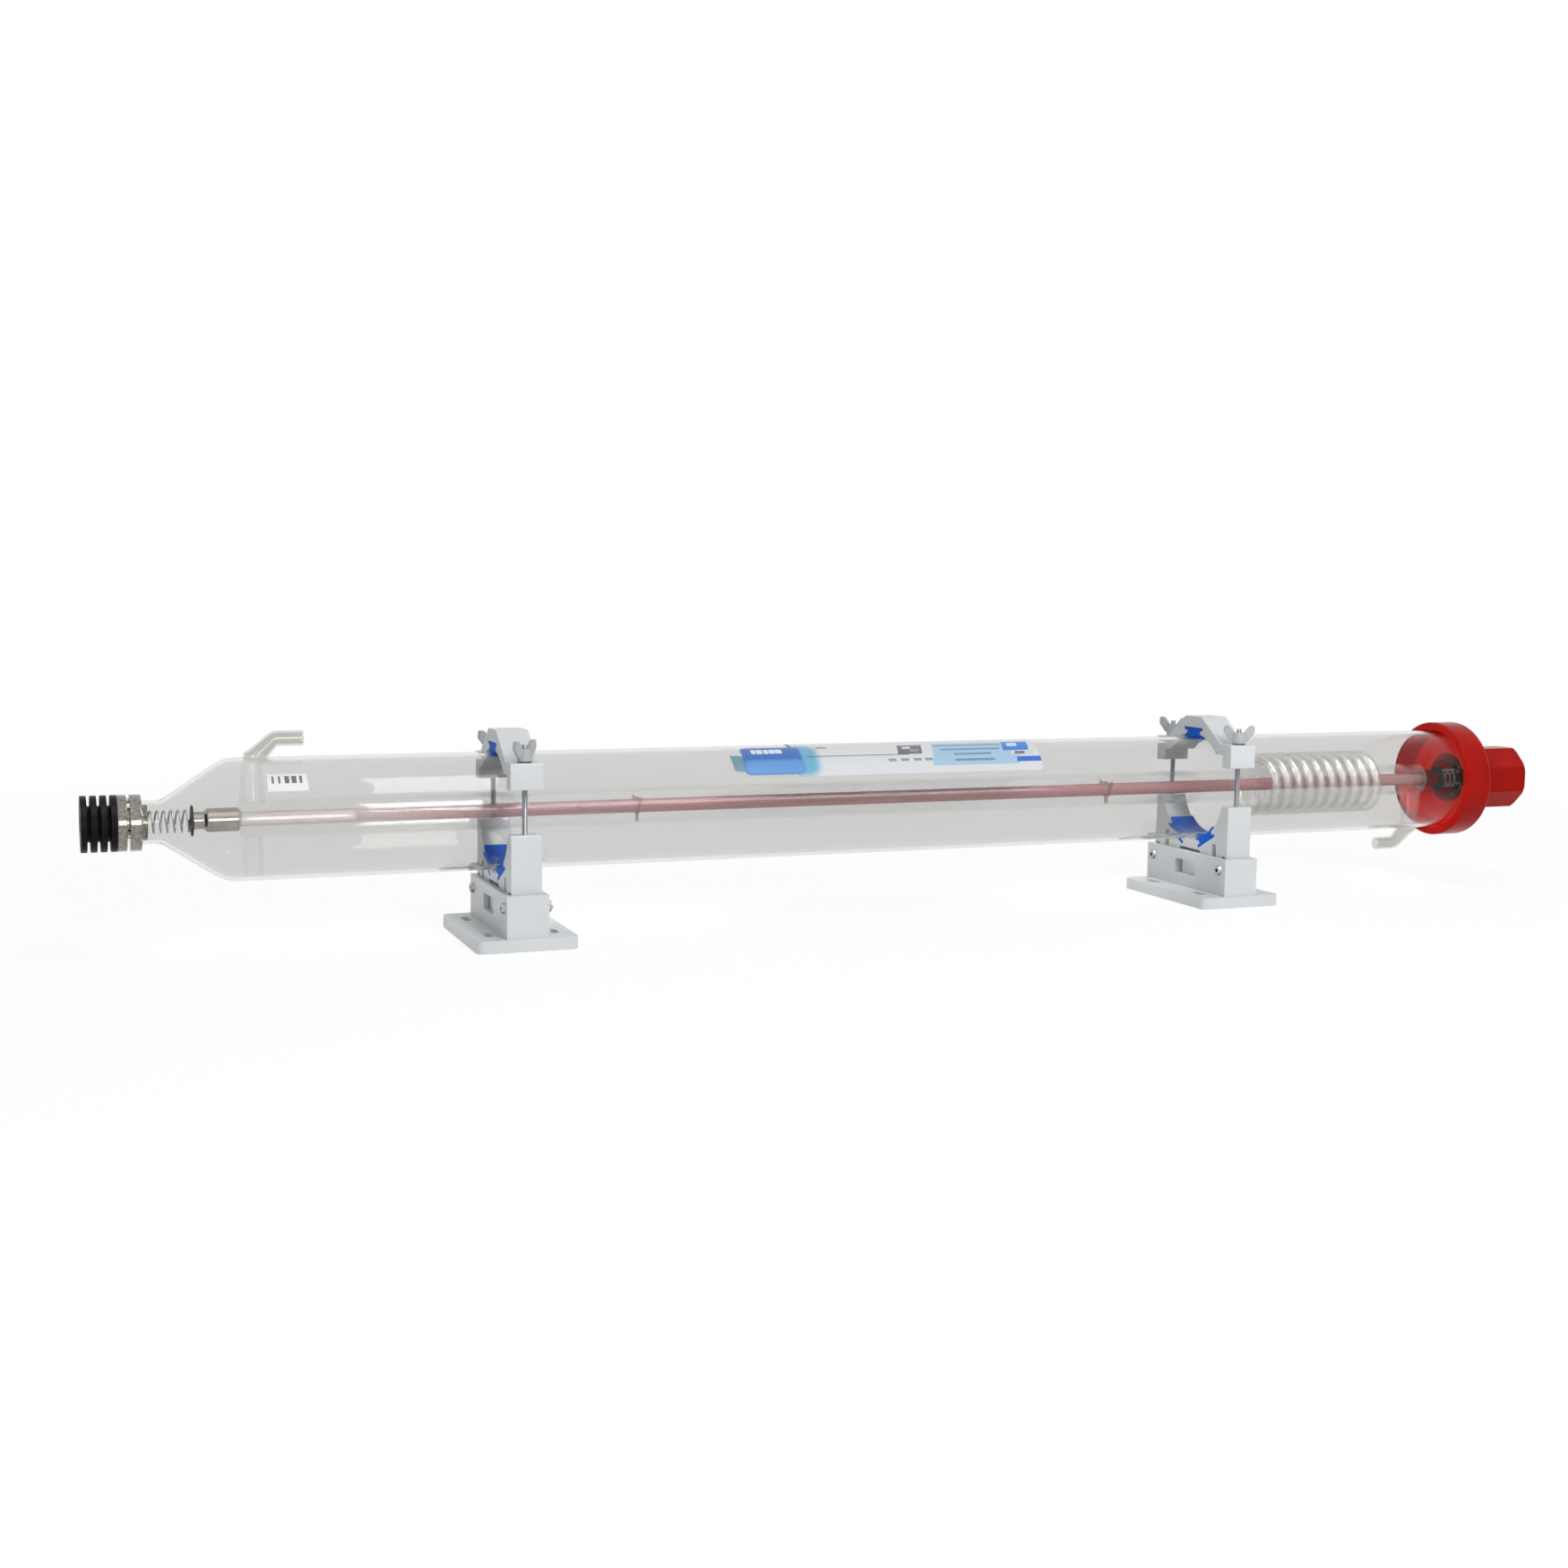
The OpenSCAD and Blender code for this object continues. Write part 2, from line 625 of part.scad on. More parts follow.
module output_mount() {
  mirror_mount(mount_at, glass_at, mount_at - 1, mount_at + mirror_pocket, mount_at + front_flange_t,
    spigot_end, neck_r - tube_wall - seat_gap) {
    three_around(screw_r, mount_at - 1) cylinder(h = screw_head_t + 1.2, r = screw_head_d / 2 + seat_gap);
    three_around(screw_r, mount_at) cylinder(h = mount_l - 2, r = screw_d / 2 + seat_gap);
  }
}

module output_screws() {
  color([0.6, 0.6, 0.62]) three_around(screw_r, mount_at + 0.2) difference() {
    union() {
      cylinder(h = screw_head_t, r = screw_head_d / 2);
      cylinder(h = mount_l - 2.5, r = screw_d / 2);
    }
    translate([0, 0, -1]) cylinder(h = 2.4, r = screw_d / 2.2, $fn = 6);
  }
}

// A spun electrode: a barrel, and a narrow collar that grips the discharge tube
module electrode(barrel_l) {
  collar_r = discharge_r + seat_gap;
  blend = electrode_r - collar_r - electrode_wall;
  outer = [[0, 0], [collar_r + electrode_wall, 0], [collar_r + electrode_wall, collar_l - blend],
    [electrode_r, collar_l], [electrode_r, collar_l + barrel_l], [0, collar_l + barrel_l]];
  inner = [[0, -1], [collar_r, -1], [collar_r, collar_l - blend + electrode_wall * 0.4],
    [electrode_r - electrode_wall, collar_l + electrode_wall * 0.4],
    [electrode_r - electrode_wall, collar_l + barrel_l + 1], [0, collar_l + barrel_l + 1]];
  difference() {
    rotate_extrude() polygon(outer);
    rotate_extrude() polygon(inner);
  }
}

module cathode() {
  color([0.78, 0.78, 0.76]) along(cathode_at) electrode(cathode_l);
}

module anode() {
  color([0.78, 0.78, 0.76]) along(anode_end) rotate([180, 0, 0]) electrode(anode_l);
}

module spring_seat(s0) {
  color([0.25, 0.22, 0.2]) difference() {
    rod(s0, s0 + seat_t, seat_d / 2);
    rod(s0 - 1, s0 + seat_t + 1, discharge_r - discharge_wall + 0.5);
  }
}

module cathode_seat() {
  spring_seat(cathode_at - seat_t);
}

module anode_seat() {
  spring_seat(anode_end);
}

// A wire spring that fills the stretch between two faces
module contact_spring(s0, s1, turns) {
  wire_r = spring_wire_d / 2;
  pitch = (s1 - s0 - spring_wire_d - 2 * seat_gap) / (turns - 1 / 8);
  color([0.6, 0.6, 0.58]) translate([x_of(s0 + wire_r + seat_gap), 0, axis_h])
    wound(spring_d / 2 - wire_r, wire_r, 0, 0, 360 * turns, pitch, 90, 14, 6);
}

module cathode_spring() {
  contact_spring(spigot_end, cathode_at - seat_t, cathode_spring_turns);
}

module anode_spring() {
  contact_spring(anode_end + seat_t, rear_spigot_at, anode_spring_turns);
}

module rear_mount() {
  mirror_mount(rear_at, rear_cover_at, rear_cover_at - mirror_pocket, rear_cover_at + 1,
    rear_cover_at - front_flange_t - mount_groove_w, rear_spigot_at, rear_neck_r - tube_wall - seat_gap) {
    three_around(screw_r, rear_cover_at - front_flange_t + 1)
      cylinder(h = front_flange_t, r = screw_d / 2 + seat_gap);
  }
}

module rear_mirror() {
  color([0.85, 0.7, 0.35]) rod(rear_cover_at - mirror_pocket, rear_cover_at - seal_t, mirror_d / 2);
}

module rear_seal() {
  seal_ring(rear_cover_at - seal_t / 2);
}

module rear_cover() {
  color([0.75, 0.75, 0.76]) difference() {
    rod(rear_cover_at, terminal_at, head_r);
    three_around(screw_r, rear_cover_at - 1) cylinder(h = rear_cover_t + 2, r = screw_d / 2 + seat_gap);
    rod(terminal_at - 4, terminal_at + 1, terminal_d / 2 + seat_gap);
  }
}

module rear_screws() {
  color([0.6, 0.6, 0.62]) three_around(screw_r, rear_cover_at - front_flange_t + 1.3) difference() {
    union() {
      cylinder(h = rear_cover_t + front_flange_t - 1.3, r = screw_d / 2);
      translate([0, 0, rear_cover_t + front_flange_t - 1.3]) cylinder(h = screw_head_t, r = screw_head_d / 2);
    }
    translate([0, 0, rear_cover_t + front_flange_t + 0.2]) cylinder(h = 3, r = screw_d / 2.2, $fn = 6);
  }
}

module anode_terminal() {
  color([0.8, 0.65, 0.3]) {
    rod(terminal_at - 3.8, terminal_at + terminal_l, terminal_d / 2);
    along(terminal_at) difference() {
      cylinder(h = nut_t, r = nut_w / sqrt(3), $fn = 6);
      translate([0, 0, -1]) cylinder(h = nut_t + 2, r = terminal_d / 2 + seat_gap);
    }
  }
}

module end_cap() {
  ring_r = tube_r + cap_gap + cap_wall;
  rim = cap_ring_end - cap_ring_l;
  ring = concat(
    [[0, rim], [ring_r - 1, rim], [ring_r, rim + 1]],
    fillet([ring_r, rim], [ring_r, cap_ring_end], [0, cap_ring_end], 2.5),
    [[0, cap_ring_end]]
  );
  corner_r = boss_w / 2 / cos(22.5);
  face_r = boss_w / 2 + 0.6;
  wide_r = corner_r + 2;
  color([0.72, 0.07, 0.05]) difference() {
    union() {
      turned(ring);
      intersection() {
        along(cap_ring_end - 1) rotate([0, 0, 22.5]) cylinder(h = boss_l + 1, r = corner_r, $fn = 8);
        turned([[0, cap_ring_end - 2], [wide_r, cap_ring_end - 2], [wide_r, total_l - wide_r + face_r],
          [face_r, total_l], [0, total_l]]);
      }
    }
    rod(rim - 1, cap_inner_at, tube_r + cap_gap);
    rod(cap_inner_at - 1, total_l - boss_end_t, boss_bore_d / 2);
    rod(total_l - boss_end_t - 1, total_l + 1, lead_hole_d / 2);
  }
}

// A thin sheet that lies on the outer tube between two angles from the horizontal front
module wrapped_sheet(s0, length, low_a, high_a) {
  along(s0) rotate([0, 0, -90 - high_a]) rotate_extrude(angle = high_a - low_a, $fn = 180)
    translate([tube_r + seat_gap / 2, 0]) square([label_t, length]);
}

module tube_label() {
  color([0.95, 0.96, 0.97]) wrapped_sheet(label_at, label_l, label_low_a, label_high_a);
}

module small_sticker() {
  color([0.95, 0.95, 0.95]) wrapped_sheet(sticker_at, sticker_l, sticker_a[0], sticker_a[1]);
}

// Puts a holder's parts at the middle of the left (0) or right (1) holder, on the surface
module at_holder(side) {
  translate([x_of(left_holder_at + side * holder_spacing), 0, 0]) children();
}

// A profile drawn in the plane across the tube, carried along it to both sides of the middle
module across(length) {
  rotate([90, 0, 90]) linear_extrude(height = length, center = true) children();
}

plastic = [0.88, 0.89, 0.9];

module base(side) {
  r = plate_corner_r;
  function plate() = rounded([[plate_l, -plate_w] / 2, [plate_l, plate_w] / 2, [-plate_l, plate_w] / 2,
    [-plate_l, -plate_w] / 2], [r, r, r, r]);
  color(plastic) at_holder(side) difference() {
    union() {
      linear_extrude(height = plate_t) polygon(plate());
      translate([-housing_l / 2, -housing_w / 2, 0]) cube([housing_l, housing_w, housing_h]);
    }
    translate([-cradle_l / 2 - slide_gap, -cradle_w / 2 - slide_gap, floor_t])
      cube([cradle_l + 2 * slide_gap, cradle_w + 2 * slide_gap, housing_h]);
    translate([-housing_l, -window_w / 2, window_low]) cube([2 * housing_l, window_w, window_h]);
    for (y = [-bolt_y, bolt_y]) translate([-housing_l, y, bolt_h]) rotate([0, 90, 0])
      cylinder(h = 2 * housing_l, r = stud_d / 2 + seat_gap);
    for (x = [-slot_x / 2, slot_x / 2], y = [-slot_y / 2, slot_y / 2]) translate([x, y, -1]) {
      reach = (slot_l - slot_w) / 2;
      for (e = [-reach, reach]) translate([0, e, 0]) cylinder(h = plate_t + 2, r = slot_w / 2);
      translate([-slot_w / 2, -reach, 0]) cube([slot_w, 2 * reach, plate_t + 2]);
    }
  }
}

module bolts(side) {
  head_d = stud_d * 2;
  head_t = 2.2;
  socket_w = 2.5;
  color([0.7, 0.7, 0.72]) at_holder(side) for (y = [-bolt_y, bolt_y])
    translate([-housing_l / 2, y, bolt_h]) rotate([0, 90, 0]) difference() {
      union() {
        cylinder(h = housing_l + nut_t + 1, r = stud_d / 2);
        translate([0, 0, -head_t]) cylinder(h = head_t, r1 = head_d / 2 - 0.8, r2 = head_d / 2);
      }
      translate([0, 0, -head_t - 1]) cylinder(h = 2.4, r = socket_w / sqrt(3), $fn = 6);
    }
}

module nuts(side) {
  color([0.7, 0.7, 0.72]) at_holder(side) for (y = [-bolt_y, bolt_y])
    translate([housing_l / 2, y, bolt_h]) rotate([0, 90, 0]) difference() {
      cylinder(h = nut_t, r = nut_w / sqrt(3), $fn = 6);
      translate([0, 0, -1]) cylinder(h = nut_t + 2, r = stud_d / 2 + seat_gap);
    }
}

// The section of a pad, pointing up from the tube axis; g widens it to cut its slot
module pad_section(g) {
  web_top = saddle_r + pad_web_t;
  translate([-pad_web_w / 2 - g, tube_r + seat_gap]) square([pad_web_w + 2 * g, web_top - tube_r]);
  translate([-pad_w / 2 - g, web_top - g]) square([pad_w + 2 * g, pad_flange_t + 2 * g]);
}

module pad(angle) {
  rotate([angle, 0, 0]) across(cradle_l) difference() {
    union() {
      pad_section(0);
      intersection() {
        translate([-pad_w / 2, 0]) square([pad_w, saddle_r]);
        circle(saddle_r - pad_gap, $fn = 120);
      }
    }
    circle(tube_r + seat_gap, $fn = 120);
  }
}

module cradle(side) {
  half_w = cradle_w / 2;
  post_corner_r = 1.5;
  body = rounded([[-half_w, cradle_low], [half_w, cradle_low], [half_w, post_top], [-half_w, post_top]],
    [1, 1, post_corner_r, post_corner_r]);
  sill = housing_h + 2;
  module face_cuts() {
    // An upside-down U groove around the middle block, and two short slots beside it
    for (y = [-1, 1]) {
      translate([y * (window_w / 2 - groove_w / 2) - groove_w / 2, cradle_low - 1])
        square([groove_w, sill - cradle_low + 1]);
      translate([y * rib_slot_y - rib_slot_w / 2, window_low])
        square([rib_slot_w, housing_h + 9.4 - window_low]);
    }
    translate([-window_w / 2 + 1, sill - 2.5]) square([window_w - 2, 2.5]);
  }
  color(plastic) at_holder(side) difference() {
    across(cradle_l) polygon(body);
    translate([0, 0, axis_h]) rotate([0, 90, 0])
      cylinder(h = cradle_l + 2, r = saddle_r, center = true, $fn = 120);
    translate([0, 0, axis_h]) for (a = [-pad_a, pad_a]) rotate([180 + a, 0, 0])
      across(cradle_l + 2) pad_section(pad_gap);
    for (y = [-stud_y, stud_y]) translate([0, y, stud_root]) cylinder(h = axis_h, r = stud_d / 2 + seat_gap / 2);
    for (y = [-bolt_y, bolt_y]) {
      for (z = [bolt_h - travel, bolt_h + travel]) translate([0, y, z]) rotate([0, 90, 0])
        cylinder(h = cradle_l + 2, r = bolt_slot_r, center = true);
      translate([-cradle_l / 2 - 1, y - bolt_slot_r, bolt_h - travel]) cube([cradle_l + 2, 2 * bolt_slot_r, 2 * travel]);
    }
    for (x = [-cradle_l / 2, cradle_l / 2 - groove_d]) translate([x + groove_d / 2, 0, 0])
      across(groove_d + eps) face_cuts();
  }
}

module lower_pads(side) {
  color([0.1, 0.35, 0.75]) at_holder(side) translate([0, 0, axis_h]) for (a = [-pad_a, pad_a]) pad(180 + a);
}

module upper_pad(side) {
  color([0.1, 0.25, 0.65]) at_holder(side) translate([0, 0, axis_h]) pad(0);
}

module studs(side) {
  color([0.55, 0.57, 0.58]) at_holder(side) for (y = [-stud_y, stud_y])
    translate([0, y, stud_root]) cylinder(h = stud_top - stud_root, r = stud_d / 2);
}

module clamp(side) {
  half_w = clamp_w / 2;
  wall_y = stud_y - stud_d / 2 - 2.5;
  shelf = saddle_r * 0.67;
  foot_y = min(wall_y - 4, half_w - 10);
  outline = rounded(
    mirrored([[half_w, ear_low], [half_w, ear_high], [foot_y, ear_high], [clamp_flat, clamp_top]]),
    [1, 1.5, 2, 3, 3, 2, 1.5, 1]
  );
  color(plastic) at_holder(side) translate([0, 0, axis_h]) difference() {
    across(clamp_l) polygon(outline);
    rotate([0, 90, 0]) cylinder(h = clamp_l + 2, r = saddle_r, center = true, $fn = 120);
    translate([-clamp_l / 2 - 1, -wall_y, 0]) cube([clamp_l + 2, 2 * wall_y, shelf]);
    across(clamp_l + 2) pad_section(pad_gap);
    for (y = [-stud_y, stud_y]) translate([0, y, 0]) cylinder(h = clamp_top, r = stud_d / 2 + 0.25);
  }
}

module washers(side) {
  color([0.35, 0.35, 0.36]) at_holder(side) for (y = [-stud_y, stud_y])
    translate([0, y, axis_h + ear_high]) difference() {
      cylinder(h = washer_t, r = stud_d * 1.15);
      translate([0, 0, -1]) cylinder(h = washer_t + 2, r = stud_d / 2 + 0.15);
    }
}

// A wing nut: a tapered hub and two wings that flare up from it
module wing_nut(side, y, angle) {
  hub_h = 8;
  wing_t = 2.6;
  wing = rounded([[2.6, 0.8], [6.4, 1.6], [11.6, 8.2], [11.2, 14], [7.4, 13], [2.6, 7]], [0, 2, 2, 2, 2, 0]);
  color(plastic) at_holder(side) translate([0, y, axis_h + ear_high + washer_t + seat_gap]) rotate([0, 0, angle])
    difference() {
      union() {
        cylinder(h = hub_h, r1 = 5.2, r2 = 4.3);
        for (a = [0, 180]) rotate([0, 0, a]) rotate([90, 0, 0])
          linear_extrude(height = wing_t, center = true) polygon(wing);
      }
      translate([0, 0, -1]) cylinder(h = hub_h + 10, r = stud_d / 2 + 0.06);
    }
}

outer_tube();
water_jacket();
discharge_tube();
discharge_spacers();
return_coil();
coil_branch();
upper_nozzle();
lower_nozzle();
jacket_stay();
heat_sink();
output_seal();
output_mirror();
output_mount();
output_screws();
cathode();
cathode_seat();
cathode_spring();
anode();
anode_seat();
anode_spring();
rear_mount();
rear_mirror();
rear_seal();
rear_cover();
rear_screws();
anode_terminal();
end_cap();
tube_label();
small_sticker();
base(0);  // left_base
bolts(0);  // left_bolts
nuts(0);  // left_nuts
cradle(0);  // left_cradle
lower_pads(0);  // left_lower_pads
studs(0);  // left_studs
clamp(0);  // left_clamp
upper_pad(0);  // left_upper_pad
washers(0);  // left_washers
wing_nut(0, -stud_y, wing_a[0]);  // left_front_wing_nut
wing_nut(0, stud_y, wing_a[1]);  // left_rear_wing_nut
base(1);  // right_base
bolts(1);  // right_bolts
nuts(1);  // right_nuts
cradle(1);  // right_cradle
lower_pads(1);  // right_lower_pads
studs(1);  // right_studs
clamp(1);  // right_clamp
upper_pad(1);  // right_upper_pad
washers(1);  // right_washers
wing_nut(1, -stud_y, wing_a[2]);  // right_front_wing_nut
wing_nut(1, stud_y, wing_a[3]);  // right_rear_wing_nut
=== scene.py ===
import math
from functools import partial

import bmesh
import bpy
import numpy as np
from bpy.props import FloatProperty, FloatVectorProperty, IntProperty, PointerProperty
from mathutils import Matrix, Vector


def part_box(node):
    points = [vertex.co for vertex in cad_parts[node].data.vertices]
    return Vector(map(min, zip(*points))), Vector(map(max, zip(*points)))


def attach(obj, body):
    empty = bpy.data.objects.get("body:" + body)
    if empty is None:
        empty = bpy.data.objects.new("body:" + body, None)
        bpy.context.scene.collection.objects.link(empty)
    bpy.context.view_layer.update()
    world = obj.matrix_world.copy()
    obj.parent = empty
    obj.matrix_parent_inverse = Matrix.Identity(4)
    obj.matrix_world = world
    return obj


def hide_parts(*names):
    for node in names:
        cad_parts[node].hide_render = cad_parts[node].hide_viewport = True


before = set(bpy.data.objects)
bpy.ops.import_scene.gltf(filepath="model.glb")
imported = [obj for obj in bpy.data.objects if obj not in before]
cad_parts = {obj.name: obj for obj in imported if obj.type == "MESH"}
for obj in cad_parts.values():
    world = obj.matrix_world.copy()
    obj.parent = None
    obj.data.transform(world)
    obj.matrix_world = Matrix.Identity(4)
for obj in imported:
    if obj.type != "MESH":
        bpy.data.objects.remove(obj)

bl_info = {
    "name": "Gas laser tube on two holders",
    "version": (1, 0, 0),
    "blender": (4, 5, 0),
    "location": "3D View > Sidebar > Laser Tube",
    "description": "Dresses a glass CO2 laser tube and its holders with glass, metal, rubber and moulded plastic",
    "category": "Object",
}

TAU = 2 * math.pi
MM = 0.001


# ---------------------------------------------------------------- places on the frame

def low_high(node):
    """Lowest and highest corner of a node, as plain arrays in metres."""
    lo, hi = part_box(node)
    return np.array(lo), np.array(hi)


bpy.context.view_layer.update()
TUBE_LO, TUBE_HI = low_high("outer_tube")
AXIS_H = (TUBE_LO[2] + TUBE_HI[2]) / 2
TUBE_R = (TUBE_HI[2] - TUBE_LO[2]) / 2
GLASS_X = TUBE_LO[0]
REAR_X = TUBE_HI[0]


# ---------------------------------------------------------------- colours and nodes

def linear(hexa):
    """An sRGB hex colour as linear red, green, blue and alpha."""
    srgb = [int(hexa[i:i + 2], 16) / 255 for i in (1, 3, 5)]
    return tuple(c / 12.92 if c <= 0.04045 else ((c + 0.055) / 1.055) ** 2.4 for c in srgb) + (1.0,)


def add(tree, kind, settings=None, **inputs):
    """Adds a shader node of a kind: settings are its own properties, inputs are its sockets by name or by i and a
    number. Each is a value, another node's socket, or another node, which stands for its first output."""
    node = tree.nodes.new("ShaderNode" + kind)
    for key, value in (settings or {}).items():
        setattr(node, key, value)
    for key, value in inputs.items():
        numbered = key[0] == "i" and key[1:].isdigit()
        socket = node.inputs[int(key[1:]) if numbered else key.replace("_", " ")]
        if isinstance(value, bpy.types.Node):
            value = value.outputs[0]
        if isinstance(value, bpy.types.NodeSocket):
            tree.links.new(value, socket)
        else:
            socket.default_value = value
    return node


def new_material(name, colour, roughness, metallic=0.0, **more):
    """A Principled material with its plain values on the shader's own sockets; returns it, its tree and its shader."""
    mat = bpy.data.materials.new(name)
    mat.use_nodes = True
    tree = mat.node_tree
    tree.nodes.clear()
    out = tree.nodes.new("ShaderNodeOutputMaterial")
    shader = add(tree, "BsdfPrincipled", Base_Color=colour, Roughness=roughness, Metallic=metallic, **more)
    tree.links.new(shader.outputs[0], out.inputs[0])
    mat.diffuse_color = colour
    return mat, tree, shader


def wander(tree, scale_mm, detail, stretch=(1, 1, 1)):
    """Noise on a piece's own coordinates whose patches are scale_mm across, and longer along an axis whose stretch is
    under one."""
    place = add(tree, "TexCoord")
    turn = add(tree, "Mapping", Vector=place.outputs["Object"], Scale=stretch)
    return add(tree, "TexNoise", Vector=turn, Scale=1 / (scale_mm * MM), Detail=detail)


def mottled(tree, shader, scale_mm, dark, light, detail=3.0, stretch=(1, 1, 1)):
    """Varies the shader's colour between two tones with noise whose patches are scale_mm across."""
    noise = wander(tree, scale_mm, detail, stretch)
    ramp = add(tree, "Mix", {"data_type": "RGBA"}, i0=noise.outputs["Fac"], i6=dark, i7=light)
    tree.links.new(ramp.outputs[2], shader.inputs["Base Color"])


def grained(tree, shader, scale_mm, strength, depth_mm, stretch=(1, 1, 1), detail=2.0):
    """Gives the shader a fine relief of noise whose grains are scale_mm apart and depth_mm deep."""
    noise = wander(tree, scale_mm, detail, stretch)
    bump = add(tree, "Bump", Strength=strength, Distance=depth_mm * MM, Height=noise.outputs["Fac"])
    tree.links.new(bump.outputs[0], shader.inputs["Normal"])
    return noise


def uneven_gloss(tree, shader, noise, low, high):
    """Lets the shader's roughness wander between two values with a noise."""
    span = add(tree, "MapRange", Value=noise.outputs["Fac"], To_Min=low, To_Max=high)
    tree.links.new(span.outputs[0], shader.inputs["Roughness"])


# ---------------------------------------------------------------- surfaces

def rows_of(items, key):
    """One vector of every vertex or face of a mesh, such as its place or its normal, as the rows of an array."""
    values = np.empty(len(items) * 3)
    items.foreach_get(key, values)
    return values.reshape(-1, 3)


def lattice(rows, columns, close_rows, close_columns):
    """Quads between neighbouring rows and columns of a lattice of points. A closed direction joins its last line to its
    first."""
    i = np.arange(rows if close_rows else rows - 1)
    j = np.arange(columns if close_columns else columns - 1)
    a, b = np.meshgrid(i, j, indexing="ij")
    a2, b2 = (a + 1) % rows, (b + 1) % columns
    return np.stack([a * columns + b, a2 * columns + b, a2 * columns + b2, a * columns + b2], -1).reshape(-1, 4)


def make_piece(name, points, faces, sharp_deg=40.0):
    """Puts points and faces, an array or a list, into a mesh, merges doubled points, turns the faces outwards and
    smooths all but sharp edges."""
    mesh = bpy.data.meshes.new(name)
    faces = faces.tolist() if isinstance(faces, np.ndarray) else faces
    mesh.from_pydata(np.asarray(points, float).reshape(-1, 3).tolist(), [], faces)
    bm = bmesh.new()
    bm.from_mesh(mesh)
    bmesh.ops.remove_doubles(bm, verts=bm.verts, dist=1e-7)
    bmesh.ops.recalc_face_normals(bm, faces=bm.faces)
    bm.to_mesh(mesh)
    bm.free()
    mesh.shade_smooth()
    mesh.set_sharp_from_angle(angle=math.radians(sharp_deg))
    piece = bpy.data.objects.new(name, mesh)
    bpy.context.scene.collection.objects.link(piece)
    return piece


def eased(corners, radii, steps=4):
    """A closed outline with every corner rounded by its own radius (all in millimetres). A support point stands just
    outside each arc, so that the flats beside it stay flat when shaded smooth."""
    pts = np.asarray(corners, float)
    out = []
    for k, r in enumerate(radii):
        p, q0, q1 = pts[k], pts[k - 1], pts[(k + 1) % len(pts)]
        if r <= 0:
            out.append(p)
            continue
        l0, l1 = np.linalg.norm(q0 - p), np.linalg.norm(q1 - p)
        d0, d1 = (q0 - p) / l0, (q1 - p) / l1
        half = math.acos(float(np.clip(d0 @ d1, -1, 1))) / 2
        if half > math.radians(89.5):
            out.append(p)
            continue
        t = min(r / math.tan(half), 0.45 * l0, 0.45 * l1)
        rr = t * math.tan(half)
        c = p + (d0 + d1) / np.linalg.norm(d0 + d1) * t / math.cos(half)
        a0 = math.atan2(*(p + d0 * t - c)[::-1])
        a1 = math.atan2(*(p + d1 * t - c)[::-1])
        turn = (a1 - a0 + math.pi) % TAU - math.pi
        ang = a0 + turn * np.linspace(0, 1, steps + 1)
        out.append(p + d0 * t * 1.08)
        out.extend(c + rr * np.stack([np.cos(ang), np.sin(ang)], -1))
        out.append(p + d1 * t * 1.08)
    return np.array(out)


def straight(t):
    """The tube's own axis: a point at distance t along it, and two directions at right angles to it."""
    n = len(t)
    centre = np.stack([t, np.zeros(n), np.full(n, AXIS_H)], -1)
    return centre, np.tile([0.0, 1.0, 0.0], (n, 1)), np.tile([0.0, 0.0, 1.0], (n, 1))


def turned(name, outline, line=straight, steps=96, closed=True):
    """A closed outline of (distance along a line, radius) points, in metres, carried round the line: each point sweeps
    a circle spanned by the line's two cross directions."""
    o = np.asarray(outline, float)
    centre, u, v = line(o[:, 0])
    a = np.linspace(0, TAU, steps, endpoint=False)
    ring = np.cos(a)[None, :, None] * u[:, None, :] + np.sin(a)[None, :, None] * v[:, None, :]
    points = centre[:, None, :] + o[:, 1, None, None] * ring
    return make_piece(name, points, lattice(len(o), steps, closed, True))


def along_x(outline_mm, x0):
    """An outline in millimetres from x0, as metres in the frame."""
    o = np.asarray(outline_mm, float) * MM
    o[:, 0] += x0
    return o


def softened(node, name, width_mm, body, segments=2, angle=30.0):
    """A copy of a CAD node with its triangles merged into flats and its edges given a small moulded radius."""
    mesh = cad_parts[node].data.copy()
    mesh.name = name
    bm = bmesh.new()
    bm.from_mesh(mesh)
    bmesh.ops.remove_doubles(bm, verts=bm.verts, dist=2e-6)
    bmesh.ops.dissolve_limit(bm, angle_limit=math.radians(0.5), verts=bm.verts, edges=bm.edges)
    bm.to_mesh(mesh)
    bm.free()
    if mesh.has_custom_normals:
        mesh.attributes.remove(mesh.attributes["custom_normal"])
    mesh.materials.clear()
    piece = bpy.data.objects.new(name, mesh)
    bpy.context.scene.collection.objects.link(piece)
    mesh.shade_smooth()
    mesh.set_sharp_from_angle(angle=math.radians(angle))
    bevel = piece.modifiers.new("moulded edge", "BEVEL")
    bevel.width = width_mm * MM
    bevel.segments = segments
    bevel.limit_method = "ANGLE"
    bevel.angle_limit = math.radians(angle)
    bevel.use_clamp_overlap = True
    bevel.harden_normals = True
    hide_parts(node)
    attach(piece, body)
    return piece


def finish_piece(piece, material, body="tube", replaces=()):
    """Gives a piece its material and its body, and hides the CAD nodes that it stands for."""
    piece.data.materials.clear()
    piece.data.materials.append(material)
    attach(piece, body)
    if replaces:
        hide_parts(*replaces)
    return piece


def dress(node, material):
    """Gives a CAD node that keeps its own shape a new material."""
    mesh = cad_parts[node].data
    mesh.materials.clear()
    mesh.materials.append(material)


# ---------------------------------------------------------------- materials

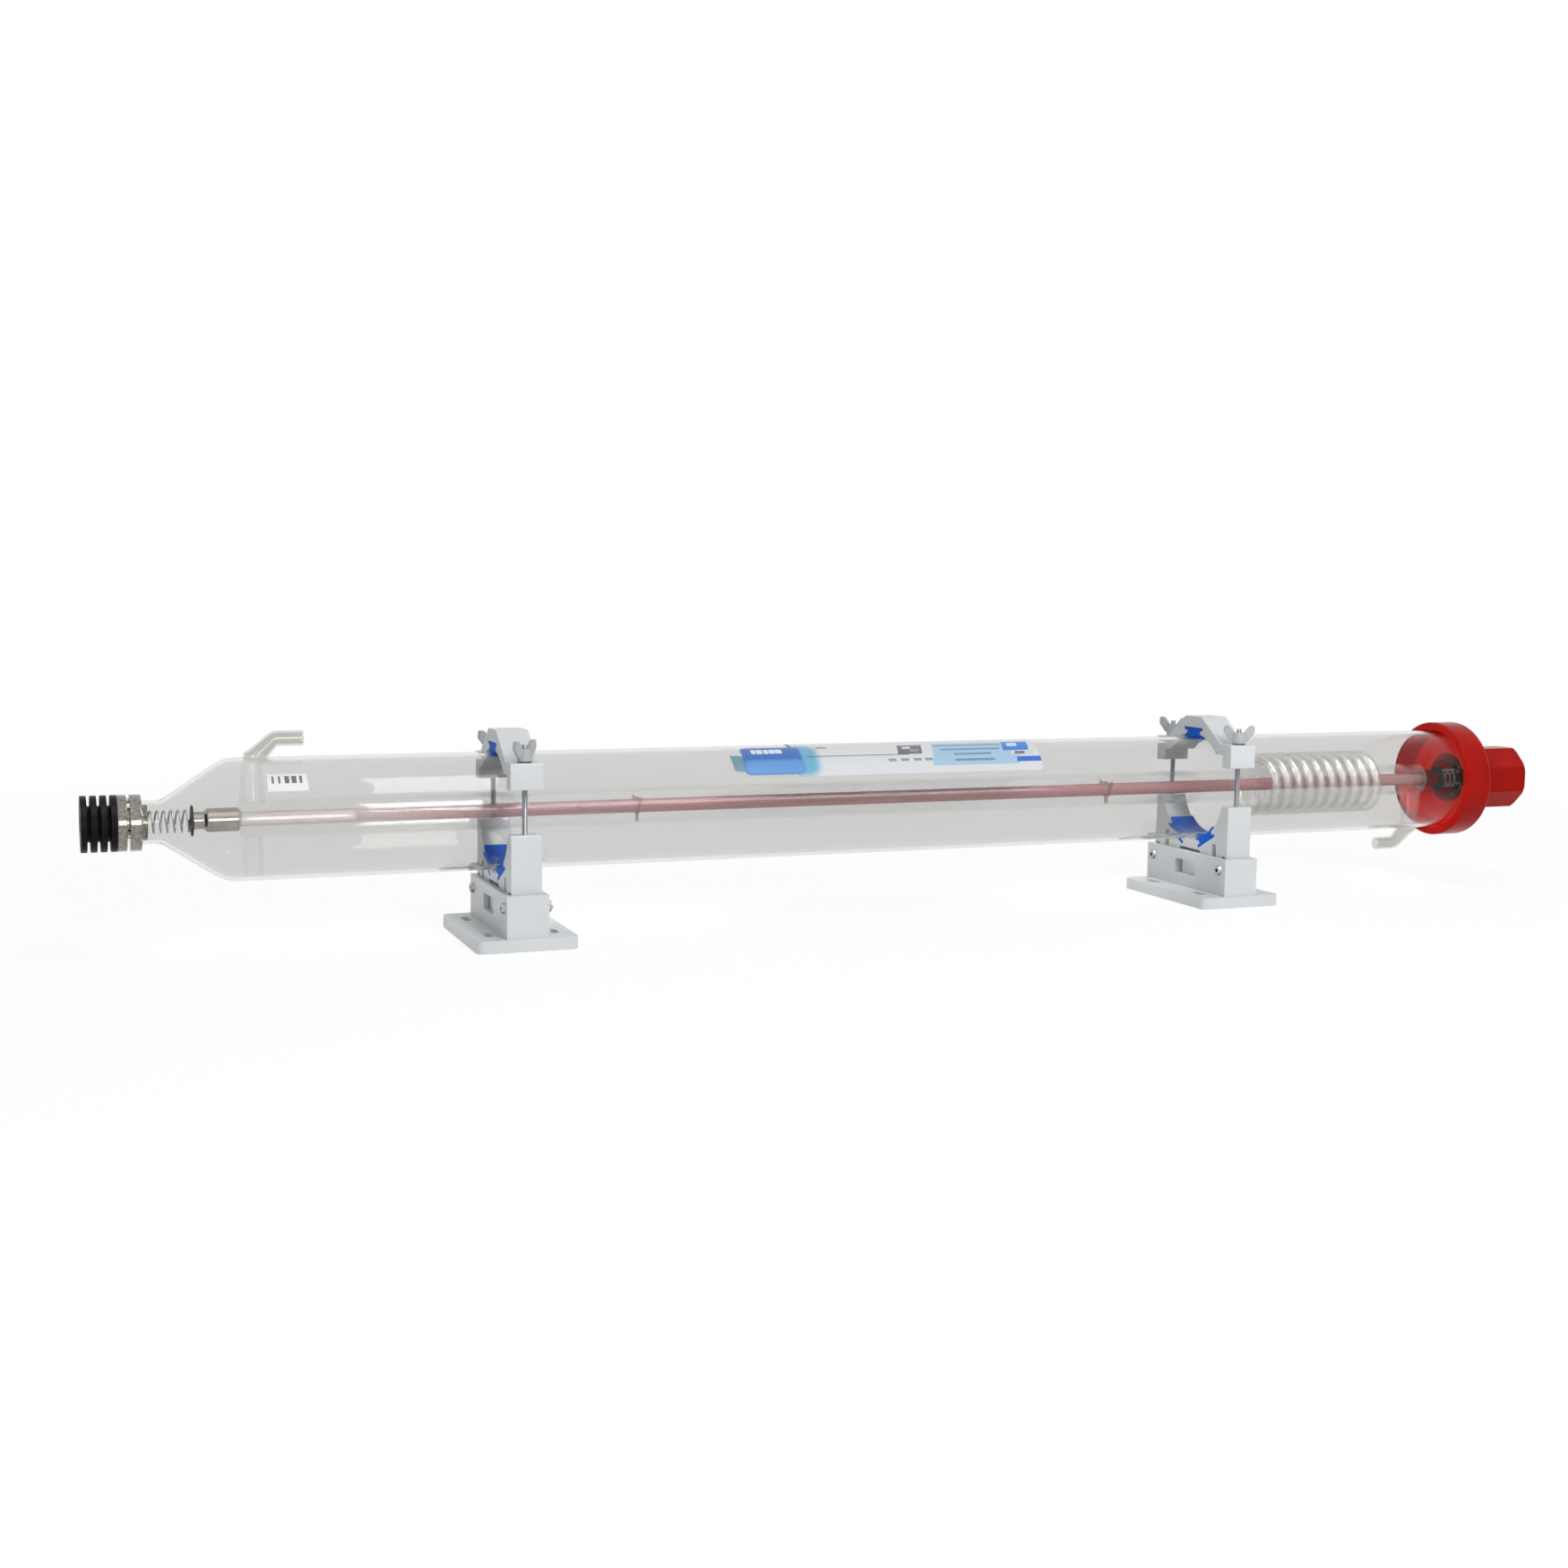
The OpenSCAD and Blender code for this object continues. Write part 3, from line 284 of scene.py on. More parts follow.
def shaped(tree, low, high, to_low, to_high, power=1.0):
    """How edge-on the surface is seen, from 0 straight on to 1 at its rim, raised to a power and spread over a
    range."""
    facing = add(tree, "LayerWeight", Blend=0.5)
    curve = add(tree, "Math", {"operation": "POWER"}, i0=facing.outputs["Facing"], i1=power)
    return add(tree, "MapRange", Value=curve, From_Min=low, From_Max=high, To_Min=to_low, To_Max=to_high).outputs[0]


def put_out(tree, shader_socket):
    """Links a shader to the material's output."""
    out = [n for n in tree.nodes if n.type == "OUTPUT_MATERIAL"][0]
    tree.links.new(shader_socket, out.inputs[0])


def borosilicate(name, tint, wobble_mm=0.02):
    """Borosilicate glass, drawn and blown: clear, with faint draw lines that bend what is seen through it and a grey
    cast where walls lie over each other. Lamps shine through it to what is inside. Its index is kept under the real
    1.47, so that the end wall doesn't veil the cap behind it."""
    mat, tree, shader = new_material(name, linear(tint), 0.0, IOR=1.2, Transmission_Weight=1.0,
                                     Specular_IOR_Level=0.75)
    # Draw lines run along the tube: stretched ten times along X
    grained(tree, shader, 9, 0.35, wobble_mm, (0.1, 1, 1), 1.0)
    path = add(tree, "LightPath")
    clear = add(tree, "BsdfTransparent", Color=tuple(c ** 0.5 for c in linear(tint)))
    mix = add(tree, "MixShader", i0=path.outputs["Is Shadow Ray"], i1=shader, i2=clear)
    put_out(tree, mix.outputs[0])
    return mat


GLASS_INDEX = 1.47


def skin_share(tree, normal=None):
    """The share of light that a thin glass skin mirrors, the same from outside and from inside."""
    side = add(tree, "NewGeometry")
    index = add(tree, "MapRange", Value=side.outputs["Backfacing"], To_Min=GLASS_INDEX, To_Max=1 / GLASS_INDEX)
    shine = add(tree, "Fresnel", IOR=index)
    if normal:
        tree.links.new(normal, shine.inputs["Normal"])
    return shine.outputs[0]


def lamp_worked(name, face, rim, haze, power=3.0, rough=0.03, wobble_mm=0.02, gloss=0.0, outside=None):
    """Thin borosilicate, lamp-worked: clear straight on, grey where the wall is seen edge-on, with sharp bright
    reflections and a little milky haze from the flame. Past the envelope it may take a grey cast of its own."""
    mat, tree, mirror = new_material(name, linear("#FFFFFF"), rough, 1.0)
    tone = add(tree, "Mix", {"data_type": "RGBA"}, i0=shaped(tree, 0, 1, 0, 1, power), i6=linear(face), i7=linear(rim))
    if outside:
        place = add(tree, "TexCoord")
        xyz = add(tree, "SeparateXYZ", Vector=place.outputs["Object"])
        rise = add(tree, "Math", {"operation": "SUBTRACT"}, i0=xyz.outputs[2], i1=AXIS_H)
        reach = add(tree, "Math", {"operation": "ABSOLUTE"}, i0=rise)
        past = add(tree, "MapRange", Value=reach, From_Min=TUBE_R - MM, From_Max=TUBE_R + MM)
        tone = add(tree, "Mix", {"data_type": "RGBA", "blend_type": "MULTIPLY"}, i0=past,
                   i6=tone.outputs[2], i7=linear(outside))
    clear = add(tree, "BsdfTransparent", Color=tone.outputs[2])
    # The flame leaves the surface slightly uneven, which breaks the highlights up
    grained(tree, mirror, 4, 0.5, wobble_mm, detail=1.0)
    uneven = mirror.inputs["Normal"].links[0].from_socket
    share = add(tree, "Math", {"operation": "ADD", "use_clamp": True}, i0=skin_share(tree, uneven), i1=gloss)
    skin = add(tree, "MixShader", i0=share, i1=clear, i2=mirror)
    milk = add(tree, "BsdfDiffuse", Color=linear("#FFFFFF"))
    both = add(tree, "MixShader", i0=haze, i1=skin, i2=milk)
    put_out(tree, both.outputs[0])
    return mat


def rose_glass():
    """The discharge tube's drawn glass: clear and pale at the output end, deepening to a dusty rose, with deeper rose
    where its sides are seen edge-on."""
    mat, tree, mirror = new_material("drawn_glass_dusty_rose", linear("#FFFFFF"), 0.06, 1.0)
    place = add(tree, "TexCoord")
    x = add(tree, "SeparateXYZ", Vector=place.outputs["Object"])
    fade = add(tree, "MapRange", {"interpolation_type": "SMOOTHSTEP"}, Value=x,
               From_Min=GLASS_X + 60 * MM, From_Max=GLASS_X + 420 * MM)
    face, rim = (add(tree, "Mix", {"data_type": "RGBA"}, i0=fade, i6=linear(pale), i7=linear(deep))
                 for pale, deep in (("#FDFBFB", "#E0ADB0"), ("#E4C6C9", "#A8525C")))
    tone = add(tree, "Mix", {"data_type": "RGBA"}, i0=shaped(tree, 0.12, 0.75, 0, 1, 2.0), i6=face.outputs[2],
               i7=rim.outputs[2])
    # Fine lengthwise streaks from drawing
    noise = wander(tree, 1.5, 1.0, (0.05, 1, 1))
    streak = add(tree, "MapRange", Value=noise.outputs["Fac"], From_Min=0.3, From_Max=0.7, To_Min=0.9, To_Max=1.0)
    body = add(tree, "VectorMath", {"operation": "SCALE"}, i0=tone.outputs[2], Scale=streak)
    clear = add(tree, "BsdfTransparent", Color=body)
    milk = add(tree, "BsdfDiffuse", Color=body)
    cloud = add(tree, "MapRange", Value=fade, To_Min=0.1, To_Max=0.34)
    inner = add(tree, "MixShader", i0=cloud, i1=clear, i2=milk)
    skin = add(tree, "MixShader", i0=skin_share(tree), i1=inner, i2=mirror)
    put_out(tree, skin.outputs[0])
    return mat


def black_anodised():
    """Aluminium, turned and black anodised: a satin black with the faint rings that the tool leaves."""
    mat, tree, shader = new_material("anodised_aluminium_black", linear("#08080A"), 0.4, Specular_IOR_Level=0.1)
    mottled(tree, shader, 6, linear("#040405"), linear("#0D0E10"), stretch=(4, 0.3, 0.3))
    grained(tree, shader, 0.5, 0.25, 0.02, stretch=(1, 0.05, 0.05))
    return mat


def turned_steel(name, tone, rough, grain_mm=0.4, dark=None, reflection_patch_mm=2.5, stretch=(1, 1, 1)):
    """Nickel-plated metal, turned: a bright mirror with fine rings round the axis that stretch its highlights. Given a
    dark tone, its colour wanders in patches between that tone and its own: painted reflection, dark and bright
    patches that stand in for the surroundings that the mirror would show."""
    mat, tree, shader = new_material(name, linear(tone), rough, 1.0)
    if dark:
        # Painted reflection: patches of the dark tone in the mirror's colour stand in for dark surroundings that it
        # would reflect
        mottled(tree, shader, reflection_patch_mm, linear(dark), linear(tone), 4.0, stretch)
    noise = grained(tree, shader, grain_mm, 0.3, 0.012, stretch=(1, 0.04, 0.04))
    uneven_gloss(tree, shader, noise, rough * 0.7, rough * 1.5)
    return mat


def plain_steel(name, tone, rough):
    """Zinc-plated steel, rolled or headed: dull grey with slightly uneven gloss."""
    mat, tree, shader = new_material(name, linear(tone), rough, 1.0)
    uneven_gloss(tree, shader, wander(tree, 2, 3.0), rough * 0.7, rough * 1.4)
    return mat


def moulded_abs(name, light, rough=0.42, grain_mm=0.8):
    """ABS, injection moulded: pale grey, with the fine spark-eroded grain of its mould and slight flow marks."""
    mat, tree, shader = new_material(name, light, rough, Specular_IOR_Level=0.3)
    mottled(tree, shader, 30, tuple(0.91 * c for c in light[:3]) + (1.0,), light)
    grained(tree, shader, grain_mm, 0.25, 0.04)
    return mat


def moulded_red(name, dark, light, rough):
    """PVC, moulded: a strong red, glossy outside and matt inside, where a brighter copy paints in light; the colour
    sinks in a little, so edges glow.
    """
    mat, tree, shader = new_material(name, linear(light), rough, IOR=1.14, Subsurface_Weight=0.08,
                                     Subsurface_Scale=0.004, Subsurface_Radius=(1.0, 0.15, 0.08))
    mottled(tree, shader, 40, linear(dark), linear(light))
    grained(tree, shader, 5, 0.12, 0.06)
    return mat


def cut_rubber():
    """Silicone rubber, cut from strip: a clear strong blue with a dull waxy sheen."""
    mat, tree, shader = new_material("silicone_rubber_blue", linear("#155CC8"), 0.5, IOR=1.14,
                                     Subsurface_Weight=0.15, Subsurface_Scale=0.003, Subsurface_Radius=(0.2, 0.4, 1.0))
    mottled(tree, shader, 5, linear("#1250B6"), linear("#1A6CDC"))
    grained(tree, shader, 0.9, 0.3, 0.03)
    return mat


def seal_rubber():
    """Nitrile rubber, moulded: dull black with a slight bloom."""
    mat, tree, shader = new_material("nitrile_rubber_black", linear("#18181A"), 0.6)
    mottled(tree, shader, 3, linear("#121214"), linear("#222226"))
    return mat


def coated_mirror():
    """Zinc selenide or gold-coated silicon, polished: a warm metallic mirror."""
    mat, tree, shader = new_material("gold_coated_optic", linear("#D9A441"), 0.05, 1.0)
    mottled(tree, shader, 12, linear("#D09A38"), linear("#E2AE4C"))
    return mat


def turned_brass():
    """Brass, turned: warm yellow with fine rings."""
    mat, tree, shader = new_material("brass_turned", linear("#C9A24A"), 0.25, 1.0)
    grained(tree, shader, 0.4, 0.3, 0.01, stretch=(1, 0.05, 0.05))
    return mat


class Print:
    """Builds a flat print from boxes of colour on a piece's own UV map, where u and v are millimetres."""

    def __init__(self, tree, base):
        self.tree = tree
        self.uv = add(tree, "UVMap", {"uv_map": "print_mm"}).outputs[0]
        self.colour = base

    def box(self, u, v, half_u, half_v, colour, soft=0.15, skew=0.0, round_off=0.0):
        """Lays a box of colour: centre, half sizes, an edge as soft as given, leaning by skew, corners rounded by
        round_off."""
        t = self.tree
        lean = add(t, "VectorMath", {"operation": "DOT_PRODUCT"}, i0=self.uv, i1=(1, skew, 0))
        rise = add(t, "VectorMath", {"operation": "DOT_PRODUCT"}, i0=self.uv, i1=(0, 1, 0))
        at = add(t, "CombineXYZ", X=lean.outputs["Value"], Y=rise.outputs["Value"])
        off = add(t, "VectorMath", {"operation": "SUBTRACT"}, i0=at, i1=(u + skew * v, v, 0))
        size = add(t, "VectorMath", {"operation": "ABSOLUTE"}, i0=off)
        over = add(t, "VectorMath", {"operation": "SUBTRACT"}, i0=size, i1=(half_u - round_off, half_v - round_off, 0))
        clip = add(t, "VectorMath", {"operation": "MAXIMUM"}, i0=over, i1=(0, 0, 0))
        far = add(t, "VectorMath", {"operation": "LENGTH"}, i0=clip)
        mask = add(t, "MapRange", {"interpolation_type": "SMOOTHSTEP"}, Value=far.outputs["Value"],
                   From_Min=round_off, From_Max=round_off + soft, To_Min=1.0, To_Max=0.0)
        mix = add(t, "Mix", {"data_type": "RGBA"}, i0=mask, i6=self.colour, i7=colour)
        self.colour = mix.outputs[2]
        return mask.outputs[0]


def printed_label():
    """Polyester film, printed and laminated: white with fields of blue, plain bars where a label would have words."""
    mat, tree, shader = new_material("polyester_film_printed", linear("#E6EAEE"), 0.25, Specular_IOR_Level=0.5)
    white = linear("#DFE2E6")
    p = Print(tree, white)
    blue, pale, deep = linear("#2F6CC0"), linear("#A9CCE4"), linear("#1E7BE0")
    grey, ink = linear("#6E7078"), linear("#4D5A78")
    leaf = p.box(4, 13, 11, 7, linear("#6E98A6"), 1.5, 0.6, 6)
    p.box(39, 17, 22, 12.5, linear("#69B3D2"), 9, -0.1, 5)
    field = p.box(31, 17, 21, 13.5, blue, 2.5, -0.1, 3)
    p.box(31, 8.5, 20, 4, linear("#5C9BDB"), 5, -0.1, 2.5)
    for u, half in ((19, 1.4), (23.5, 2.0), (28.5, 1.5), (33, 1.9), (38, 2.2)):
        p.box(u, 25, half, 2.6, linear("#E4EEF8"), 0.6, -0.1, 0.6)
    p.box(97, 17.5, 40, 0.28, ink, 0.2)
    p.box(72, 29, 4, 0.9, linear("#C0504A"), 0.4)
    p.box(140, 24, 9.5, 6, grey, 0.4, -0.3)
    p.box(138, 26, 3, 1.6, white, 0.3, -0.3)
    p.box(143, 22, 3.4, 1.4, linear("#9A9BA2"), 0.3, -0.3)
    for u in (122, 132, 142, 151):
        p.box(u, 12, 3.0, 1.2, linear("#9A9FA8"), 0.3)
    p.box(192, 19, 35, 13, pale, 0.4, -0.3)
    for v, half in ((28, 27), (22, 24), (16.5, 15), (10.5, 16)):
        p.box(188, v, half, 0.8, linear("#6E97B4"), 0.5, -0.3)
    p.box(227, 26, 10.5, 6.5, deep, 0.4, -0.3, 1)
    p.box(225, 27.5, 4, 2.6, linear("#CBE6FA"), 0.5, -0.3, 1.5)
    p.box(229, 16.5, 9, 2.4, linear("#D5DBE2"), 0.4, -0.3)
    p.box(227, 16.5, 4, 1.4, grey, 0.3, -0.3)
    p.box(233, 10, 10.5, 2.2, linear("#2C6FD6"), 0.4, -0.3, 1)
    # The film is clear outside the printed fields
    sheet = p.box(147, 30, 97, 30, p.colour, 0.4, -0.1, 2)
    cover = add(tree, "Math", {"operation": "MAXIMUM"}, i0=leaf, i1=field)
    cover = add(tree, "Math", {"operation": "MAXIMUM"}, i0=cover, i1=sheet)
    film = add(tree, "BsdfTransparent", Color=linear("#FEFEFE"))
    both = add(tree, "MixShader", i0=cover, i1=film, i2=shader)
    put_out(tree, both.outputs[0])
    ink_film = add(tree, "VectorMath", {"operation": "SCALE"}, i0=p.colour, Scale=0.8)
    tree.links.new(ink_film.outputs[0], shader.inputs["Base Color"])
    grained(tree, shader, 14, 0.15, 0.05, stretch=(0.3, 1, 1))
    return mat


def numbered_sticker():
    """Paper sticker, printed: white with five plain dark bars."""
    mat, tree, shader = new_material("paper_sticker_printed", linear("#E8E8E6"), 0.5)
    p = Print(tree, linear("#D4D3D3"))
    for u, half in ((3.4, 0.5), (7.4, 0.5), (12.2, 1.3), (16.6, 1.4), (20.8, 0.7)):
        p.box(u, 8.6, half, 2.7, linear("#3C4148"), 0.35)
    tree.links.new(p.colour, shader.inputs["Base Color"])
    grained(tree, shader, 0.6, 0.2, 0.02)
    return mat


# ---------------------------------------------------------------- sizes and colours

class LaserTubeSizes(bpy.types.PropertyGroup):
    glass_wall: FloatProperty(name="Outer glass wall", description="Wall of the outer tube", default=2.4 * MM,
                              min=1.5 * MM, max=4 * MM, unit="LENGTH")
    jacket_wall: FloatProperty(name="Jacket wall", description="Wall of the water jacket", default=1.4 * MM,
                               min=0.8 * MM, max=2 * MM, unit="LENGTH")
    coil_sides: IntProperty(name="Coil smoothness", description="Sides of the coiled glass", default=20, min=8, max=40)
    edge: FloatProperty(name="Moulded edge", description="Radius on the edges of moulded parts", default=0.7 * MM,
                        min=0.1 * MM, max=2 * MM, unit="LENGTH")
    thread_pitch: FloatProperty(name="Thread pitch", description="Pitch of the studs' thread", default=0.7 * MM,
                                min=0.4 * MM, max=1.25 * MM, unit="LENGTH")


class LaserTubeColours(bpy.types.PropertyGroup):
    holder: FloatVectorProperty(name="Holders", description="Colour of the moulded holders", subtype="COLOR", size=4,
                                default=linear("#CCD0D2"), min=0, max=1)
    floor: FloatVectorProperty(name="Floor", description="Colour of the floor", subtype="COLOR", size=4,
                               default=linear("#FFFFFF"), min=0, max=1)


# ---------------------------------------------------------------- glass

# In millimetres: the outer tube's necks and cone, the jacket with the hole in each of its ends, the discharge tube and
# the coil's wall
NECK_R, NECK_L, CONE_L = 14.0, 12.4, 38.5
REAR_NECK_R, REAR_NECK_L = 15.0, 18.0
JACKET_R, JACKET_HOLE = 12.5, 4.87
DISCHARGE_R, DISCHARGE_WALL = 4.75, 1.4
COIL_WALL = 1.2


def envelope_outline(wall_mm):
    """The outer tube's section: neck, cone, body, rear wall and rear neck outside, and the same inside by the wall."""
    length = (REAR_X - GLASS_X) / MM
    r, back = TUBE_R / MM, length - REAR_NECK_L
    slope = math.atan2(r - NECK_R, CONE_L)
    lift = wall_mm * (1 - math.cos(slope)) / math.sin(slope)
    w = wall_mm
    corners = [(0, NECK_R), (NECK_L, NECK_R), (NECK_L + CONE_L, r), (back, r), (back, REAR_NECK_R),
               (length, REAR_NECK_R), (length, REAR_NECK_R - w), (back - w, REAR_NECK_R - w), (back - w, r - w),
               (NECK_L + CONE_L + lift, r - w), (NECK_L + lift, NECK_R - w), (0, NECK_R - w)]
    radii = [1.0, 5.0, 26.0, 11.0, 3.0, 0.8, 0.8, 2.0, 8.6, 23.6, 6.0, 1.0]
    return eased(corners, radii, steps=10)


def subdivided(outline, step_mm):
    """Adds points to the long straight runs of a closed outline, so that no run is longer than the step."""
    out = []
    for p, q in zip(outline, np.roll(outline, -1, axis=0)):
        n = max(1, int(np.linalg.norm(q - p) / step_mm))
        out.append(p + (q - p) * (np.arange(n) / n)[:, None])
    return np.concatenate(out)


COIL_LO, COIL_HI = low_high("return_coil")
COIL_TUBE_R = 4 * MM
COIL_R = (COIL_HI[2] - COIL_LO[2]) / 2 - COIL_TUBE_R
# Degrees: where the coil starts round the axis, how far it winds, and over how much of its end it slows to a stop
COIL_START = 215.0
COIL_SWEEP = 3805.0
COIL_EASE = 120.0
COIL_PITCH = 10.7 * MM
COIL_X = COIL_LO[0] + 3.95 * MM


def helix(t, x0, radius, pitch, sweep, ease, start=0.0, levels=True):
    """A winding round the tube's axis: at t degrees on from its first end, a point that stands radius from the axis,
    advances by pitch a turn, and slows to a stop over its last ease degrees. Where it levels, its section turns upright
    as it slows."""
    a = np.radians(start + t)
    late = np.maximum(0, t - sweep + ease)
    x = x0 + pitch / 360 * (t - late ** 2 / (2 * ease))
    out = np.stack([np.zeros_like(a), np.cos(a), np.sin(a)], -1)
    rate = pitch / TAU * (1 - late / ease) if levels else np.full_like(a, pitch / TAU)
    ahead = np.stack([rate, -radius * np.sin(a), radius * np.cos(a)], -1)
    ahead /= np.linalg.norm(ahead, axis=1)[:, None]
    centre = np.stack([x, np.zeros_like(a), np.full_like(a, AXIS_H)], -1) + radius * out
    return centre, out, np.cross(ahead, out)


def coil_line(t):
    """The return coil's winding, from its open end."""
    return helix(t, COIL_X, COIL_R, COIL_PITCH, COIL_SWEEP, COIL_EASE, COIL_START)


def pipe_outline(length, outer, wall, step, lip):
    """A pipe's section as a closed loop: out along its outer radius and back along its bore, with its ends
    rounded over the length of the lip. The outer radius may be a function of the distance along."""
    n = max(2, int(length / step))
    t = np.linspace(0, length, n + 1)
    r = outer(t) if callable(outer) else np.full(n + 1, float(outer))
    inset = np.clip(np.minimum(t, length - t) / max(lip, 1e-9), 0, 1)
    ease = wall / 2 * (1 - np.sqrt(np.clip(1 - (1 - inset) ** 2, 0, 1)))
    return np.concatenate([np.stack([t, r - ease], -1), np.stack([t, r - wall + ease], -1)[::-1]])


# A water connection, in millimetres from the tube's axis or along its line, and its tangent's angle at each mark
NOZZLE_UP = {"root": 8.0, "feed": 6.2, "hose": 4.9, "wall": 1.4, "feed_bend": 7.5, "hose_bend": 6.3, "rise": 51.9,
             "hose_length": 16.0, "bead": 1.3, "bead_width": 1.1, "bead_back": 1.6}
NOZZLE_START = 11.0
NOZZLE_ANGLES = [0, 0, 45, 45, 90, 90]


def nozzle_line(x0, side):
    """A water connection's middle line: straight out from the jacket, 45 degrees over, then level with the tube. The
    tangent's angle runs in steps from 0 to 90 degrees, and the points are its running sum."""
    k = NOZZLE_UP
    turn = math.pi / 4
    # The first bend ends at the outer surface of the tube
    first = TUBE_R / MM - k["feed_bend"] * math.sin(turn) - NOZZLE_START
    slant = (k["rise"] - k["hose_bend"] * (1 - math.cos(turn)) - TUBE_R / MM) / math.cos(turn)
    marks = np.cumsum([0, first, k["feed_bend"] * turn, slant, k["hose_bend"] * turn, k["hose_length"]])
    s = np.linspace(0, marks[-1], 1200)
    a = np.radians(np.interp(s, marks, NOZZLE_ANGLES))
    ds = s[1] - s[0]
    px = np.concatenate([[0], np.cumsum((np.sin(a[1:]) + np.sin(a[:-1])) / 2 * ds)])
    pz = NOZZLE_START + np.concatenate([[0], np.cumsum((np.cos(a[1:]) + np.cos(a[:-1])) / 2 * ds)])

    def line(t):
        tt = np.asarray(t) / MM
        ang = np.radians(np.interp(tt, marks, NOZZLE_ANGLES))
        x, z = np.interp(tt, s, px) * MM, np.interp(tt, s, pz) * MM
        zero = np.zeros_like(x)
        centre = np.stack([x0 + side * x, zero, AXIS_H + side * z], -1)
        cross = np.stack([side * np.cos(ang), zero, -side * np.sin(ang)], -1)
        return centre, cross, np.tile([0.0, 1.0, 0.0], (len(x), 1))
    return line, marks


def nozzle_radius(marks):
    """Outer radius along a water connection: flared at the jacket, thickened where it is fused through the outer glass,
    and drawn down to the hose size past the first bend."""
    k = NOZZLE_UP
    first, bead_at = marks[1], marks[2] - k["bead_back"]

    def radius(t):
        tt = np.asarray(t) / MM
        r = np.interp(tt, [0, 1.5, 22, first, marks[2], marks[3], marks[-1]],
                      [k["root"], k["root"], k["feed"], k["feed"], k["feed"], k["hose"], k["hose"]])
        return (r + k["bead"] * np.exp(-((tt - bead_at) / k["bead_width"]) ** 2)) * MM
    return radius


class LASERTUBE_OT_glass(bpy.types.Operator):
    """Blows the outer tube, its water jacket, the discharge tube, the coil and the water connections"""
    bl_idname = "lasertube.glass"
    bl_label = "Glasswork"

    def execute(self, context):
        sizes = context.scene.laser_tube_sizes
        wall = sizes.glass_wall / MM
        outer_mat = borosilicate("borosilicate_outer_tube", "#E6E6E5", 0.03)
        jacket_mat = lamp_worked("borosilicate_jacket", "#FCFCFC", "#D2D0CE", 0.01, power=10.0)
        coil_mat = lamp_worked("borosilicate_coil", "#FDFDFC", "#B4B1AD", 0.03, power=3.5, rough=0.2, wobble_mm=0.04,
                               gloss=0.1)
        nozzle_mat = lamp_worked("borosilicate_connections", "#FEFEFE", "#8A8B8D", 0.01, power=8.0, wobble_mm=0.06,
                                 outside="#ECECEA")
        spacer_mat = lamp_worked("borosilicate_spacers", "#E9D3D3", "#7E4046", 0.12, power=1.6, wobble_mm=0.05)

        outline = along_x(subdivided(envelope_outline(wall), 12), GLASS_X)
        finish_piece(turned("outer_glass", outline, steps=160), outer_mat, replaces=["outer_tube"])

        lo, hi = low_high("water_jacket")
        w, r, hole, length = sizes.jacket_wall / MM, JACKET_R, JACKET_HOLE, (hi[0] - lo[0]) / MM
        corners = [(0, hole), (0, r), (length, r), (length, hole), (length - w, hole), (length - w, r - w), (w, r - w),
                   (w, hole)]
        outline = along_x(subdivided(eased(corners, [0.3, 4, 4, 0.3, 0.3, 2.6, 2.6, 0.3], 8), 20), lo[0])
        finish_piece(turned("jacket_glass", outline, steps=72), jacket_mat, replaces=["water_jacket"])

        lo, hi = low_high("discharge_tube")
        outline = pipe_outline(hi[0] - lo[0], DISCHARGE_R * MM, DISCHARGE_WALL * MM, 20 * MM, lip=0.6 * MM)
        outline[:, 0] += lo[0]
        finish_piece(turned("discharge_glass", outline, steps=40), rose_glass(),
                     replaces=["discharge_tube"])

        # Along the coil, lengths are degrees: 44 steps a turn and a lip 1.6 degrees long
        outline = pipe_outline(COIL_SWEEP, COIL_TUBE_R, COIL_WALL * MM, 360 / 44, lip=1.6)
        finish_piece(turned("coiled_glass", outline, coil_line, steps=sizes.coil_sides), coil_mat,
                     replaces=["return_coil"])

        for node, side in (("upper_nozzle", 1), ("lower_nozzle", -1)):
            lo, hi = low_high(node)
            root = NOZZLE_UP["root"] * MM
            x0 = lo[0] + root if side > 0 else hi[0] - root
            line, marks = nozzle_line(x0, side)
            outline = pipe_outline(marks[-1] * MM, nozzle_radius(marks), NOZZLE_UP["wall"] * MM, 0.5 * MM,
                                   lip=0.7 * MM)
            finish_piece(turned(f"{node}_glass", outline, line, steps=48), nozzle_mat, replaces=[node])

        for node in ("coil_branch", "jacket_stay", "discharge_spacers"):
            piece = softened(node, f"{node}_glass", 0.25, "tube", 1)
            piece.data.materials.append({"coil_branch": coil_mat, "jacket_stay": nozzle_mat}.get(node, spacer_mat))
        return {"FINISHED"}


# ---------------------------------------------------------------- metal

